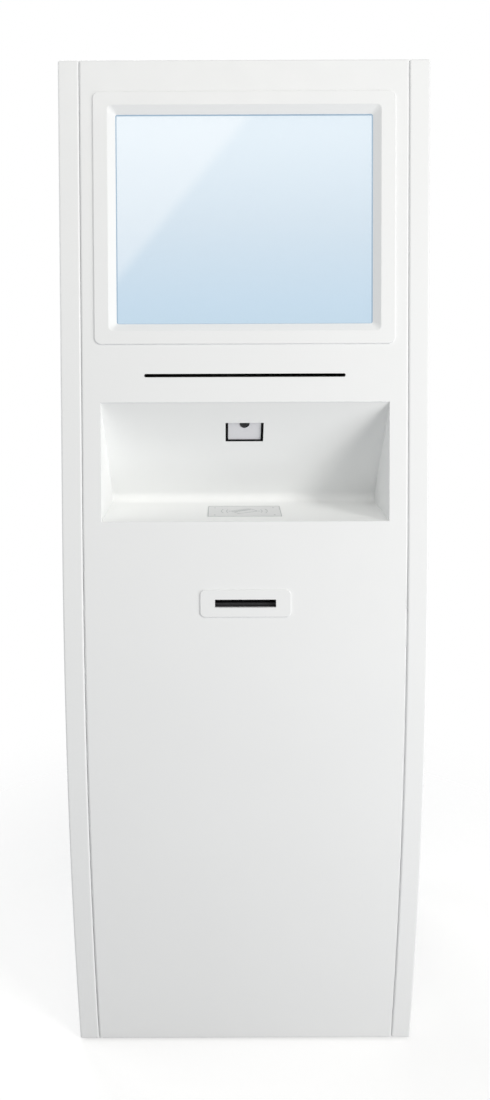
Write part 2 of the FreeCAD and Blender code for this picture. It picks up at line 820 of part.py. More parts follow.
def front_panel():
    """Folded pan that follows the front, with its openings"""
    body = new_body("front_panel")
    outline = new_sketch(body, "YZ_Plane")
    front_band(outline, "0", "flange_depth", "floor_gap", "height")
    pad(body, outline, "2 * panel_half", both=True)
    arc_y, arc_z, radius = number("arc_y"), number("nose_height"), number("arc_radius")
    face_y, half = number("face_y"), number("panel_half")
    joint_z = number("tangent_z")
    slope = (number("tangent_y") - face_y) / joint_z

    def on_front(middle, edge):
        bowed = near(Vector(0, middle.y - arc_y, middle.z - arc_z).Length, radius) and middle.z < joint_z
        leaning = near(middle.y, face_y + middle.z * slope)
        long_edge = near(abs(middle.x), half)
        end_edge = near(middle.x, 0) and not near(middle.z, joint_z)
        return (bowed or leaning) and (long_edge or end_edge)

    round_edges(body, "fold_radius", on_front)
    inside = new_sketch(body, "YZ_Plane")
    front_band(inside, "skin", "flange_depth + cut_overrun", "floor_gap + skin", "height - skin")
    pocket(body, inside, "2 * (panel_half - skin)", both=True)
    slots = new_sketch(body, "XZ_Plane")
    rectangle(slots, ("-rim_opening_half", "rim_opening_half"),
              ("screen_height - rim_opening_rise", "screen_height + rim_opening_rise"))
    rounded_rectangle(slots, ("-slot_half", "slot_half"),
                      ("slot_height - slot_tall / 2", "slot_height + slot_tall / 2"), "slot_corner")
    rectangle(slots, ("-ticket_rim_half - rim_gap", "ticket_rim_half + rim_gap"),
              ("ticket_height - ticket_rim_rise - rim_gap", "ticket_height + ticket_rim_rise + rim_gap"))
    pocket(body, slots, both=True)
    niche_cut(body)


def niche_cut(body):
    """Cut of the niche's side view, from in front of the face back to its slanted wall"""
    section = new_sketch(body, "YZ_Plane")
    polygon(section, niche_section("niche_rear_y", "niche_low", "-cut_overrun"))
    pocket(body, section, "2 * niche_half", both=True)


def niche_section(corner_y, floor, inset, wall="0"):
    """Corners of the niche's side view: floor, slanted wall moved back by a wall, and the open front"""
    return [
        (lean_at(floor, inset), floor),
        (corner_y, floor),
        (f"niche_top_y + {wall}", "niche_top"),
        (lean_at("niche_top", inset), "niche_top"),
    ]


def top_cover():
    """Folded lid between the side panels, behind the front panel's top fold"""
    body = new_body("top_cover")
    front = lean_at("height", "flange_depth") + " + seam_gap"
    outline = new_sketch(body, "XY_Plane", "height - flange_depth")
    rectangle(outline, ("-panel_half", "panel_half"), (front, "rear_face"))
    pad(body, outline, "flange_depth")
    top = number("height")
    round_edges(body, "fold_radius", lambda middle, edge: near(middle.z, top))
    inside = new_sketch(body, "XY_Plane", "height - flange_depth")
    rectangle(inside, ("skin - panel_half", "panel_half - skin"), (front + " + skin", "rear_inside"))
    pocket(body, inside, "flange_depth - skin", reverse=True)


def rear_frame():
    """Folded frame round the service opening, with the fan vent and the inlet opening"""
    body = new_body("rear_frame")
    outline = new_sketch(body, "XZ_Plane", "-rear_face")
    rectangle(outline, ("-panel_half", "panel_half"), ("floor_gap", "frame_top"))
    pad(body, outline, "flange_depth")
    rear = number("rear_face")
    round_edges(body, "fold_radius", lambda middle, edge: near(middle.y, rear))
    inside = new_sketch(body, "XZ_Plane", "-rear_inside")
    rectangle(inside, ("skin - panel_half", "panel_half - skin"), ("floor_gap + skin", "frame_top - skin"))
    pocket(body, inside, "flange_depth", reverse=True)
    lip = new_sketch(body, "XZ_Plane", "-rear_face + skin / 2")
    rectangle(lip, ("-opening_half - skin", "opening_half + skin"),
              ("opening_bottom - skin", "opening_top + skin"))
    pad(body, lip, "frame_lip - skin / 2")
    holes = new_sketch(body, "XZ_Plane")
    rectangle(holes, ("-opening_half", "opening_half"), ("opening_bottom", "opening_top"))
    circle(holes, "0", "fan_z", "fan_bore_radius")
    rectangle(holes, ("inlet_across - inlet_wide / 2 - plate_gap", "inlet_across + inlet_wide / 2 + plate_gap"),
              ("inlet_height - inlet_tall / 2 - plate_gap", "inlet_height + inlet_tall / 2 + plate_gap"))
    for x in ("-screw_across", "screw_across"):
        for z in ("-screw_across", "screw_across"):
            circle(holes, x, f"fan_z + {z}", "screw_radius + running_gap")
    pocket(body, holes, both=True)


def rear_door():
    """Folded door with two lock holes and two groups of vent slots"""
    body = new_body("rear_door")
    outline = new_sketch(body, "XZ_Plane", "-rear_face")
    rectangle(outline, ("-door_half", "door_half"), ("door_bottom", "door_top"))
    pad(body, outline, "door_flange")
    rear = number("rear_face")
    round_edges(body, "fold_radius / 2", lambda middle, edge: near(middle.y, rear))
    inside = new_sketch(body, "XZ_Plane", "-rear_inside")
    rectangle(inside, ("skin - door_half", "door_half - skin"), ("door_bottom + skin", "door_top - skin"))
    pocket(body, inside, "door_flange", reverse=True)
    holes = new_sketch(body, "XZ_Plane")
    for z in lock_heights():
        circle(holes, "lock_x", z, "lock_radius + running_gap")
    pocket(body, holes, both=True)
    slot = new_sketch(body, "XZ_Plane")
    for low in ("door_bottom + vent_height", "door_top - vent_height"):
        rounded_rectangle(slot, ("-vent_half", "vent_half"), (low, f"{low} + vent_slot"),
                          "vent_slot * vent_round_share")
    first = pocket(body, slot, both=True)
    rows = body.newObject("PartDesign::LinearPattern", "vent_rows")
    rows.Originals = [first]
    rows.Direction = (slot, ["V_Axis"])
    bind(rows, "Length", "vent_pitch * (vent_slots - 1)")
    bind(rows, "Occurrences", "vent_slots")
    body.Tip = rows
    doc.recompute()


def lock_heights():
    return ("door_bottom + lock_end_inset", "door_top - lock_end_inset")


def hinge_heights():
    middle = "(door_bottom + door_top) / 2"
    return ("door_bottom + hinge_inset", middle, "door_top - hinge_inset")


def hinge_parts():
    """Three butt hinges on the outer face: leaves on the frame, leaves on the door, and pins"""
    frame_leaves = []
    door_leaves = []
    pins = []
    leaf_y = ("rear_face", "rear_face + leaf_thickness")
    edge = "barrel_radius + leaf_gap"
    for z in hinge_heights():
        low, high = f"{z} - hinge_tall / 2", f"{z} + hinge_tall / 2"
        door_span = (f"{z} - knuckle_tall / 2", f"{z} + knuckle_tall / 2")
        frame_spans = ((low, f"{z} - knuckle_tall / 2 - knuckle_gap"),
                       (f"{z} + knuckle_tall / 2 + knuckle_gap", high))
        bore = rod("z", "pin_radius + running_gap", (low + " - cut_overrun", high + " + cut_overrun"),
                   "hinge_x", "hinge_y")
        plate = box((f"hinge_x + {edge}", "hinge_x + leaf_wide"), leaf_y, (low, high))
        knuckles = [rod("z", "barrel_radius", span, "hinge_x", "hinge_y") for span in frame_spans]
        tabs = [box(("hinge_x", f"hinge_x + {edge} + leaf_gap"), leaf_y, span) for span in frame_spans]
        frame_leaves.append(cut(join(plate, *knuckles, *tabs), bore))
        bore = rod("z", "pin_radius + running_gap", (low, high), "hinge_x", "hinge_y")
        plate = box(("hinge_x - leaf_wide", f"hinge_x - {edge}"), leaf_y, (low, high))
        tab = box((f"hinge_x - {edge} - leaf_gap", "hinge_x"), leaf_y, door_span)
        knuckle = rod("z", "barrel_radius", door_span, "hinge_x", "hinge_y")
        door_leaves.append(cut(join(plate, tab, knuckle), bore))
        heads = [rod("z", "pin_head_radius", span, "hinge_x", "hinge_y")
                 for span in ((f"{low} - pin_head_thickness", low), (high, f"{high} + pin_head_thickness"))]
        pins.append(join(rod("z", "pin_radius", (low, high), "hinge_x", "hinge_y"), *heads))
    node("hinge_frame_leaves", group(*frame_leaves))
    node("hinge_door_leaves", group(*door_leaves))
    node("hinge_pins", group(*pins))


def locks():
    """Two cam locks: barrels fixed in the door, and plugs that carry the cams"""
    barrels = []
    for name, z, away in (("lower_lock_cam", lock_heights()[0], -1), ("upper_lock_cam", lock_heights()[1], 1)):
        body = rod("y", "lock_radius", ("rear_face - door_flange", "rear_face"), "lock_x", z)
        head = rod("y", "lock_head_radius", ("rear_face", "rear_face + lock_head_thickness"), "lock_x", z)
        bore = rod("y", "plug_radius + running_gap",
                   ("rear_face - door_flange - cut_overrun", "rear_face + lock_head_thickness + cut_overrun"),
                   "lock_x", z)
        barrels.append(cut(join(body, head), bore))
        plug_end = "rear_face + lock_head_thickness + plug_proud"
        plug = rod("y", "plug_radius", ("cam_front", plug_end), "lock_x", z)
        ends = (f"{z} - cam_half", f"{z} + cam_length") if away > 0 else (f"{z} - cam_length", f"{z} + cam_half")
        cam = box(("lock_x - cam_half", "lock_x + cam_half"), ("cam_front", "cam_rear"), ends)
        keyway = box(("lock_x - key_wide / 2", "lock_x + key_wide / 2"),
                     (f"{plug_end} - key_deep", f"{plug_end} + cut_overrun"),
                     (f"{z} - key_tall / 2", f"{z} + key_tall / 2"))
        node(name, cut(join(plug, cam), keyway))
    node("lock_barrels", group(*barrels))


# Base

def corners(across, front, rear):
    """The four places on a rectangle whose sides are the same distance from the middle plane"""
    return [(x, y) for x in (f"-{across}", across) for y in (front, rear)]


def base():
    """Floor tray with its anchor holes, and four levelling feet"""
    tray = pan(("-shelf_half", "shelf_half"), ("tray_front", "rear_face - flange_depth - seam_gap"),
               ("tray_height", "tray_height + tray_wall"), "skin", "+z")
    through = ("tray_height - cut_overrun", "tray_height + skin + cut_overrun")
    holes = [rod("z", "stud_radius + running_gap", through, x, y)
             for x, y in corners("foot_across", "foot_front_y", "foot_rear_y")]
    holes += [rod("z", "anchor_radius", through, x, y)
              for x, y in corners("anchor_across", "-anchor_along", "anchor_along")]
    holes.append(rod("z", "cable_entry_radius", through, "0", "cable_entry_rear"))
    node("base_tray", cut(tray, *holes))
    pads = []
    studs = []
    for x, y in corners("foot_across", "foot_front_y", "foot_rear_y"):
        pads.append(rod("z", "foot_radius", ("0", "foot_thickness"), x, y))
        shank = rod("z", "stud_radius", ("foot_thickness", "stud_top"), x, y)
        collar = rod("z", "collar_radius", ("tray_height - collar_thickness", "tray_height"), x, y)
        studs.append(join(shank, collar))
    node("foot_pads", group(*pads))
    node("foot_studs", group(*studs))


# Screen, made flat with Z out of the leaning face, then placed on it

def on_face(name, thing):
    """Name a flat-made piece and set it on the leaning face at the screen's middle"""
    node(name, thing)
    place(thing, "0", "screen_y", "screen_height", "90 - lean_angle")


def screen():
    """Bezel, glass, display, housing and its brackets"""
    body = new_body("screen_bezel")
    outer = new_sketch(body, "XY_Plane")
    rounded_rectangle(outer, ("-bezel_wide / 2", "bezel_wide / 2"), ("-bezel_tall / 2", "bezel_tall / 2"),
                      "bezel_corner")
    pad(body, outer, "bezel_proud")
    front = number("bezel_proud")
    round_edges(body, "bezel_round", lambda middle, edge: near(middle.z, front))
    rim = new_sketch(body, "XY_Plane")
    rectangle(rim, ("-rim_wide / 2", "rim_wide / 2"), ("-rim_tall / 2", "rim_tall / 2"))
    pad(body, rim, "rim_deep", reverse=True)
    opening = new_sketch(body, "XY_Plane")
    rounded_rectangle(opening, ("-aperture_wide / 2", "aperture_wide / 2"),
                      ("-aperture_tall / 2", "aperture_tall / 2"), "aperture_corner")
    pocket(body, opening, both=True)
    rebate = new_sketch(body, "XY_Plane", "glass_front")
    rectangle(rebate, ("-glass_wide / 2 - plate_gap", "glass_wide / 2 + plate_gap"),
              ("-glass_tall / 2 - plate_gap", "glass_tall / 2 + plate_gap"))
    pocket(body, rebate, "rim_deep")
    wide_end = new_sketch(body, "XY_Plane", "bezel_proud")
    rounded_rectangle(wide_end, ("-bevel_wide / 2", "bevel_wide / 2"), ("-bevel_tall / 2", "bevel_tall / 2"),
                      "bevel_corner")
    narrow_end = new_sketch(body, "XY_Plane", "bezel_proud - bevel_deep")
    rounded_rectangle(narrow_end, ("-aperture_wide / 2", "aperture_wide / 2"),
                      ("-aperture_tall / 2", "aperture_tall / 2"), "aperture_corner")
    bevel = body.newObject("PartDesign::SubtractiveLoft", "bevel")
    bevel.Profile = wide_end
    bevel.Sections = [narrow_end]
    bevel.Ruled = True
    doc.recompute()
    on_face("screen_bezel", body)

    glass = box(("-glass_wide / 2", "glass_wide / 2"), ("-glass_tall / 2", "glass_tall / 2"),
                ("glass_rear", "glass_front"))
    on_face("touch_glass", group(glass))
    display = box(("lcd_edge - glass_wide / 2", "glass_wide / 2 - lcd_edge"),
                  ("lcd_edge - glass_tall / 2", "glass_tall / 2 - lcd_edge"), ("lcd_rear", "glass_rear"))
    on_face("lcd_panel", group(display))
    tub = pan(("-rim_wide / 2", "rim_wide / 2"), ("-rim_tall / 2", "rim_tall / 2"),
              ("housing_rear", "-rim_deep"), "skin", "+z")
    posts = [rod("z", "post_radius", ("housing_rear + skin", "lcd_rear"), x, y)
             for x in ("post_inset - glass_wide / 2", "glass_wide / 2 - post_inset")
             for y in ("post_inset - glass_tall / 2", "glass_tall / 2 - post_inset")]
    on_face("display_housing", join(tub, *posts))
    clips = []
    for side in ("", "-"):
        for y in ("bracket_spread", "-bracket_spread"):
            across = sorted_span(side, "rim_wide / 2", "rim_wide / 2 + skin")
            leg = box(across, (f"{y} - bracket_wide / 2", f"{y} + bracket_wide / 2"),
                      ("-skin - bracket_leg", "-skin"))
            across = sorted_span(side, "rim_wide / 2", "rim_wide / 2 + skin + bracket_tab")
            tab = box(across, (f"{y} - bracket_wide / 2", f"{y} + bracket_wide / 2"), ("-2 * skin", "-skin"))
            clips.append(join(leg, tab))
    on_face("display_brackets", group(*clips))


def sorted_span(side, near_end, far_end):
    """Low and high formulas of a span that starts near the middle, on the side given by its sign"""
    return (f"-({far_end})", f"-({near_end})") if side == "-" else (near_end, far_end)


# Niche

def niche_block(name, corners_yz, half, corner):
    """Solid with the niche's side view and a rounded lower rear corner"""
    body = doc.addObject("PartDesign::Body", name)
    section = new_sketch(body, "YZ_Plane")
    polygon(section, corners_yz)
    pad(body, section, f"2 * ({half})", both=True)
    corner_y, corner_z = (number(place) for place in corners_yz[1])
    round_edges(body, corner, lambda middle, edge: near(middle.z, corner_z) and near(middle.y, corner_y))
    return body


def niche():
    """Folded niche tray with flange, window and pad openings; scanner and card reader"""
    wall_shift = "skin / cos(niche_angle)"
    outer_corner = f"niche_rear_y + skin * tan(niche_angle) + {wall_shift}"
    shell = niche_block("niche_shell", niche_section(outer_corner, "niche_low - skin", "skin", wall_shift),
                        "niche_half + skin", "niche_corner + skin")
    flange = new_sketch(shell, "YZ_Plane")
    flange_low, flange_top = "niche_low - skin - niche_lip", "niche_top + niche_lip"
    polygon(flange, [
        (lean_at(flange_low, "skin"), flange_low),
        (lean_at(flange_low, "2 * skin"), flange_low),
        (lean_at(flange_top, "2 * skin"), flange_top),
        (lean_at(flange_top, "skin"), flange_top),
    ])
    pad(shell, flange, "2 * (niche_half + skin + niche_lip)", both=True)
    space = niche_block("niche_space", niche_section("niche_rear_y", "niche_low", "-cut_overrun"),
                        "niche_half", "niche_corner")
    window = box(("-window_half", "window_half"), ("niche_top_y", "niche_rear_y"),
                 ("window_z - window_rise_half", "window_z + window_rise_half"))
    pad_hole = box(("-pad_half - plate_gap", "pad_half + plate_gap"),
                   ("pad_front - plate_gap", "pad_rear + plate_gap"),
                   ("niche_low - skin - cut_overrun", "niche_low + cut_overrun"))
    node("niche_tray", cut(shell, space, window, pad_hole))

    scanner_top = "window_tall / 2 + scanner_over"
    case = box(("-window_half - scanner_border", "window_half + scanner_border"),
               ("-window_tall / 2 - scanner_border", scanner_top + " + scanner_border"),
               ("-skin - scanner_deep", "-skin"))
    recess = box(("-window_half", "window_half"), ("-window_tall / 2", scanner_top),
                 ("recess_floor", "cut_overrun"))
    face = box(("face_side_gap - window_half", "window_half - face_side_gap"),
               ("face_low_gap - window_tall / 2", scanner_top + " - plate_gap"),
               ("recess_floor", "recess_floor + face_thickness"))
    lens = rod("z", "lens_radius", ("recess_floor + face_thickness",
                                    "recess_floor + face_thickness + lens_thickness"),
               "0", "window_tall / 2 - lens_drop")
    for name, thing in (("scanner_housing", cut(case, recess)), ("scanner_face", group(face)),
                        ("scanner_lens", group(lens))):
        place(node(name, thing), "0", "window_y", "window_z", "90 + niche_angle")

    reader_top = "niche_low - skin"
    reader = box(("-pad_half - reader_border", "pad_half + reader_border"),
                 ("pad_front - reader_border", "pad_rear + reader_border"),
                 (f"{reader_top} - reader_deep", reader_top))
    plug_socket = box(("-reader_border", "reader_border"),
                      ("pad_rear + reader_border - reader_border / 2", "pad_rear + 2 * reader_border"),
                      (f"{reader_top} - reader_deep / 2", f"{reader_top} - reader_deep / 4"))
    node("card_reader_body", join(reader, plug_socket))
    node("card_reader_pad", box(("-pad_half", "pad_half"), ("pad_front", "pad_rear"),
                                (reader_top, "niche_low + pad_proud")))


# Document slot and printer

def document_chute():
    """Flat channel from the printer to the slot, with a flange against the back of the face"""
    body = new_body("document_chute")
    half = "chute_tall / 2 + chute_wall"
    ends = f"{half} + chute_flange"
    section = new_sketch(body, "YZ_Plane")
    low, high = f"slot_height - {half}", f"slot_height + {half}"
    far_low, far_high = f"slot_height - ({ends})", f"slot_height + {ends}"
    rear = "printer_front - plate_gap"
    depth = "skin + chute_wall"
    polygon(section, [
        (lean_at(far_low, "skin"), far_low), (lean_at(far_low, depth), far_low),
        (lean_at(low, depth), low), (rear, low), (rear, high), (lean_at(high, depth), high),
        (lean_at(far_high, depth), far_high), (lean_at(far_high, "skin"), far_high),
    ])
    pad(body, section, "2 * chute_half", both=True)
    channel = new_sketch(body, "XZ_Plane")
    rectangle(channel, ("chute_wall - chute_half", "chute_half - chute_wall"),
              ("slot_height - chute_tall / 2", "slot_height + chute_tall / 2"))
    pocket(body, channel, both=True)


def document_printer():
    """Shelf, open-topped printer body, hinged cover, sheet stack and the two exit rollers"""
    node("document_shelf", pan(("-shelf_half", "shelf_half"), ("document_shelf_front", "document_shelf_rear"),
                               ("document_shelf_height", "document_shelf_height + document_shelf_wall"),
                               "skin", "+z"))
    shell = pan(("-printer_half", "printer_half"), ("printer_front", "printer_rear"),
                ("printer_low", "printer_top"), "printer_wall", "+z")
    sill = box(("-printer_inside_half", "printer_inside_half"),
               ("printer_front - cut_overrun", "printer_front + printer_wall + cut_overrun"),
               ("slot_height - printer_sill", "printer_top + cut_overrun"))
    through = ("-printer_half - cut_overrun", "printer_half + cut_overrun")
    bores = [rod("x", "drive_shaft_radius + running_gap", through, "roller_y", "drive_z"),
             rod("x", "pinch_shaft_radius + running_gap", through, "roller_y", "pinch_z"),
             rod("x", "cover_pin_radius + running_gap", through, "cover_axis_y", "cover_axis_z")]
    node("document_printer_body", cut(shell, sill, *bores))

    inside = "printer_inside_half - cover_tab_gap"
    plate = box(("-printer_half", "printer_half"),
                ("cover_axis_y + cover_tab_rear", "printer_rear + plate_gap + printer_wall"),
                ("cover_low", "cover_low + printer_wall"))
    front = box((f"-({inside})", inside), ("cover_axis_y", "cover_axis_y + cover_tab_rear"),
                ("cover_low", "cover_low + printer_wall"))
    lip = box(("-printer_half", "printer_half"),
              ("printer_rear + plate_gap", "printer_rear + plate_gap + printer_wall"),
              ("cover_low - cover_lip", "cover_low + printer_wall"))
    ears = []
    for side in ("", "-"):
        across = sorted_span(side, f"{inside} - printer_wall", inside)
        ears.append(rod("x", "cover_tab_half", across, "cover_axis_y", "cover_axis_z"))
        ears.append(box(across, ("cover_axis_y - cover_tab_half", "cover_axis_y + cover_tab_rear"),
                        ("cover_axis_z", "cover_low + printer_wall / 2")))
        across = sorted_span(side, f"{inside} - printer_wall / 2", "printer_half")
        ears.append(rod("x", "cover_pin_radius", across, "cover_axis_y", "cover_axis_z"))
    node("document_printer_cover", join(plate, front, lip, *ears))

    stack_y = "(printer_front + printer_rear) / 2"
    node("document_paper", box(("-sheet_half", "sheet_half"),
                               (f"{stack_y} - sheet_long / 2", f"{stack_y} + sheet_long / 2"),
                               ("printer_low + printer_wall", "printer_low + printer_wall + stack_tall")))
    for name, radius, shaft, z in (("document_drive_roller", "drive_radius", "drive_shaft_radius", "drive_z"),
                                   ("document_pinch_roller", "pinch_radius", "pinch_shaft_radius", "pinch_z")):
        sleeve = rod("x", radius, ("-roller_half", "roller_half"), "roller_y", z)
        axle = rod("x", shaft, ("-printer_half", "printer_half"), "roller_y", z)
        node(name, join(sleeve, axle))


# Ticket slot and printer

def ticket_bezel():
    """Raised plate with the ticket slot and a tunnel through the face"""
    body = new_body("ticket_bezel")
    outer = new_sketch(body, "XY_Plane")
    rounded_rectangle(outer, ("-ticket_bezel_wide / 2", "ticket_bezel_wide / 2"),
                      ("-ticket_bezel_tall / 2", "ticket_bezel_tall / 2"), "ticket_bezel_corner")
    pad(body, outer, "ticket_bezel_proud")
    front = number("ticket_bezel_proud")
    round_edges(body, "ticket_bezel_round", lambda middle, edge: near(middle.z, front))
    tunnel = new_sketch(body, "XY_Plane")
    rectangle(tunnel, ("-ticket_rim_half", "ticket_rim_half"), ("-ticket_rim_rise", "ticket_rim_rise"))
    pad(body, tunnel, "ticket_rim_deep", reverse=True)
    slot = new_sketch(body, "XY_Plane")
    rounded_rectangle(slot, ("-ticket_slot_wide / 2", "ticket_slot_wide / 2"),
                      ("-ticket_slot_tall / 2", "ticket_slot_tall / 2"), "ticket_slot_corner")
    pocket(body, slot, both=True)
    place(body, "0", "ticket_y", "ticket_height", "90 deg - asin(ticket_tilt_sine)")


def ticket_frame():
    """Shelf, cutter with its blade, and the printer frame with its bearings and idler axle"""
    node("ticket_shelf", pan(("-shelf_half", "shelf_half"),
                             ("ticket_shelf_front", "ticket_shelf_front + ticket_shelf_long"),
                             ("ticket_shelf_height - shelf_wall", "bench_z"), "skin", "-z"))
    block = box(("-cutter_half", "cutter_half"), ("cutter_front", "cutter_rear"),
                ("bench_z", "ticket_height + cutter_over"))
    slit = box(("-slit_half", "slit_half"), ("cutter_front - cut_overrun", "cutter_rear + cut_overrun"),
               ("slit_low", "slit_top"))
    blade_top = "slit_low - blade_drop"
    guide = box(("-blade_half - plate_gap", "blade_half + plate_gap"),
                ("blade_y - blade_thickness / 2 - plate_gap", "blade_y + blade_thickness / 2 + plate_gap"),
                (f"{blade_top} - 2 * blade_tall", f"{blade_top} + blade_travel + plate_gap + skin"))
    node("ticket_cutter_frame", cut(block, slit, guide))
    node("cutter_blade", box(("-blade_half", "blade_half"),
                             ("blade_y - blade_thickness / 2", "blade_y + blade_thickness / 2"),
                             (f"{blade_top} - blade_tall", blade_top)))

    long_span = ("frame_front", "frame_rear")
    foot = box(("-frame_half", "frame_half"), long_span, ("bench_z", "bench_z + frame_wall"))
    cheeks = [box(sorted_span(side, "frame_inside", "frame_half"), long_span, ("bench_z", "bench_z + frame_tall"))
              for side in ("", "-")]
    bridge = box(("-frame_half", "frame_half"), ("frame_rear - frame_wall", "frame_rear"),
                 ("bench_z", "bench_z + frame_tall / 2"))
    axle = rod("x", "axle_radius", ("frame_inside", "gear_high + plate_gap"), "idler_y", "idler_z")
    across = ("-frame_half - cut_overrun", "frame_half + cut_overrun")
    bores = [rod("x", "shaft_radius + running_gap", across, "platen_y", "platen_z"),
             rod("x", "shaft_radius + running_gap", across, "lever_y", "lever_z"),
             rod("x", "motor_shaft_radius + plate_gap", ("frame_inside - plate_gap", "frame_half + cut_overrun"),
                 "pinion_y", "pinion_z"),
             rod("y", "button_stem_radius + running_gap",
                 ("frame_rear - frame_wall - cut_overrun", "frame_rear + cut_overrun"),
                 "-button_across", "button_z")]
    node("ticket_printer_frame", cut(join(foot, *cheeks, bridge, axle), *bores))


def gear(body, teeth, bore, y, z, phase):
    """Spur gear with straight-sided teeth, one of them pointing at the phase angle about X"""
    root = f"gear_module * ({teeth} / 2 - gear_root_share)"
    tip = f"gear_module * ({teeth} / 2 + 1)"
    disc = new_sketch(body, "XY_Plane")
    circle(disc, "0", "0", root)
    pad(body, disc, "gear_thickness")
    tooth = new_sketch(body, "XY_Plane")
    foot = f"{root} - gear_module * tooth_sink_share"
    polygon(tooth, [(foot, "-tooth_root / 2"), (root, "-tooth_root / 2"), (tip, "-tooth_tip / 2"),
                    (tip, "tooth_tip / 2"), (root, "tooth_root / 2"), (foot, "tooth_root / 2")])
    bind(tooth, "AttachmentOffset", f"placement(vector(0; 0; 0); rotation(vector(0; 0; 1); 90 + {phase}))")
    first = pad(body, tooth, "gear_thickness")
    ring = body.newObject("PartDesign::PolarPattern", "teeth")
    ring.Originals = [first]
    ring.Axis = (disc, ["N_Axis"])
    ring.Angle = 360
    bind(ring, "Occurrences", teeth)
    body.Tip = ring
    doc.recompute()
    if bore:
        hole = new_sketch(body, "XY_Plane")
        circle(hole, "0", "0", bore)
        pocket(body, hole, both=True)
    bind(body, "Placement", f"placement(vector(gear_low; {y}; {z}); rotation(vector(0; 1; 0); 90))")
    return body


def ticket_drive():
    """Platen roller, gear train, feed motor, print head and its lever"""
    sleeve = rod("x", "platen_radius", ("-platen_half", "platen_half"), "platen_y", "platen_z")
    axle = rod("x", "shaft_radius", ("-frame_half", "gear_high"), "platen_y", "platen_z")
    node("platen_roller", join(sleeve, axle))
    gear(new_body("platen_gear"), "platen_teeth", "shaft_radius + seat_gap", "platen_y", "platen_z", "platen_phase")
    gear(new_body("idler_gear"), "idler_teeth", "axle_radius + running_gap", "idler_y", "idler_z", "idler_phase")
    wheel = gear(doc.addObject("PartDesign::Body", "pinion_wheel"), "pinion_teeth", None,
                 "pinion_y", "pinion_z", "pinion_phase")
    stub = rod("x", "motor_shaft_radius", ("frame_inside - motor_shaft_hold", "gear_low + gear_thickness / 2"),
               "pinion_y", "pinion_z")
    node("motor_pinion", join(wheel, stub))
    case = box(("frame_inside - motor_long", "frame_inside"),
               ("pinion_y - motor_size / 2", "pinion_y + motor_size / 2"),
               ("pinion_z - motor_size / 2", "pinion_z + motor_size / 2"))
    bearing = rod("x", "motor_shaft_radius + running_gap",
                  ("frame_inside - motor_shaft_hold - plate_gap", "frame_inside + cut_overrun"),
                  "pinion_y", "pinion_z")
    node("feed_motor", cut(case, bearing))

    node("print_head", box(("-head_half", "head_half"), ("platen_y - head_long / 2", "platen_y + head_long / 2"),
                           ("head_low", "lever_low")))
    front = "lever_y - lever_long"
    plate = box(("-lever_half", "lever_half"), (front, "lever_y"), ("lever_low", "lever_low + lever_thickness"))
    handle = box(("-lever_handle_half", "lever_handle_half"), (front, f"{front} + lever_thickness"),
                 ("lever_low", "lever_low + lever_handle_tall"))
    pivot = rod("x", "shaft_radius", ("-frame_half", "frame_half"), "lever_y", "lever_z")
    node("head_lever", join(plate, handle, pivot))


def push_button(name, stem, cap, x, z, wall_front, wall_rear):
    """Button pushed towards the front: cap behind a wall, stem through it, collar inside"""
    inside = f"{wall_front} - button_inside"
    back = f"{wall_rear} + button_stroke_room"
    shank = rod("y", stem, (inside, back), x, z)
    collar = rod("y", f"{stem} + collar_tall", (inside, f"{inside} + collar_tall"), x, z)
    knob = rod("y", cap, (back, f"{back} + button_cap_tall"), x, z)
    node(name, join(shank, collar, knob))


def ticket_roll():
    """Bracket with open slots, spindle and paper roll"""
    foot = box(("-arm_outside", "arm_outside"), ("roll_y - roll_base_half", "roll_y + roll_base_half"),
               ("bench_z", "bench_z + arm_thickness"))
    top = "roll_z + arm_over"
    arms = [box(sorted_span(side, "arm_inside", "arm_outside"), ("roll_y - arm_half", "roll_y + arm_half"),
                ("bench_z", top)) for side in ("", "-")]
    across = ("-arm_outside - cut_overrun", "arm_outside + cut_overrun")
    seat = rod("x", "spindle_radius + running_gap", across, "roll_y", "roll_z")
    slot = box(across, ("roll_y - spindle_radius - running_gap", "roll_y + spindle_radius + running_gap"),
               ("roll_z", top + " + cut_overrun"))
    node("roll_bracket", cut(join(foot, *arms), seat, slot))
    node("roll_spindle", rod("x", "spindle_radius", ("-arm_outside - arm_gap", "arm_outside + arm_gap"),
                             "roll_y", "roll_z"))
    roll = rod("x", "roll_radius", ("-roll_half", "roll_half"), "roll_y", "roll_z")
    core = rod("x", "spindle_radius + seat_gap", ("-roll_half - cut_overrun", "roll_half + cut_overrun"),
               "roll_y", "roll_z")
    node("paper_roll", cut(roll, core))


# Electronics

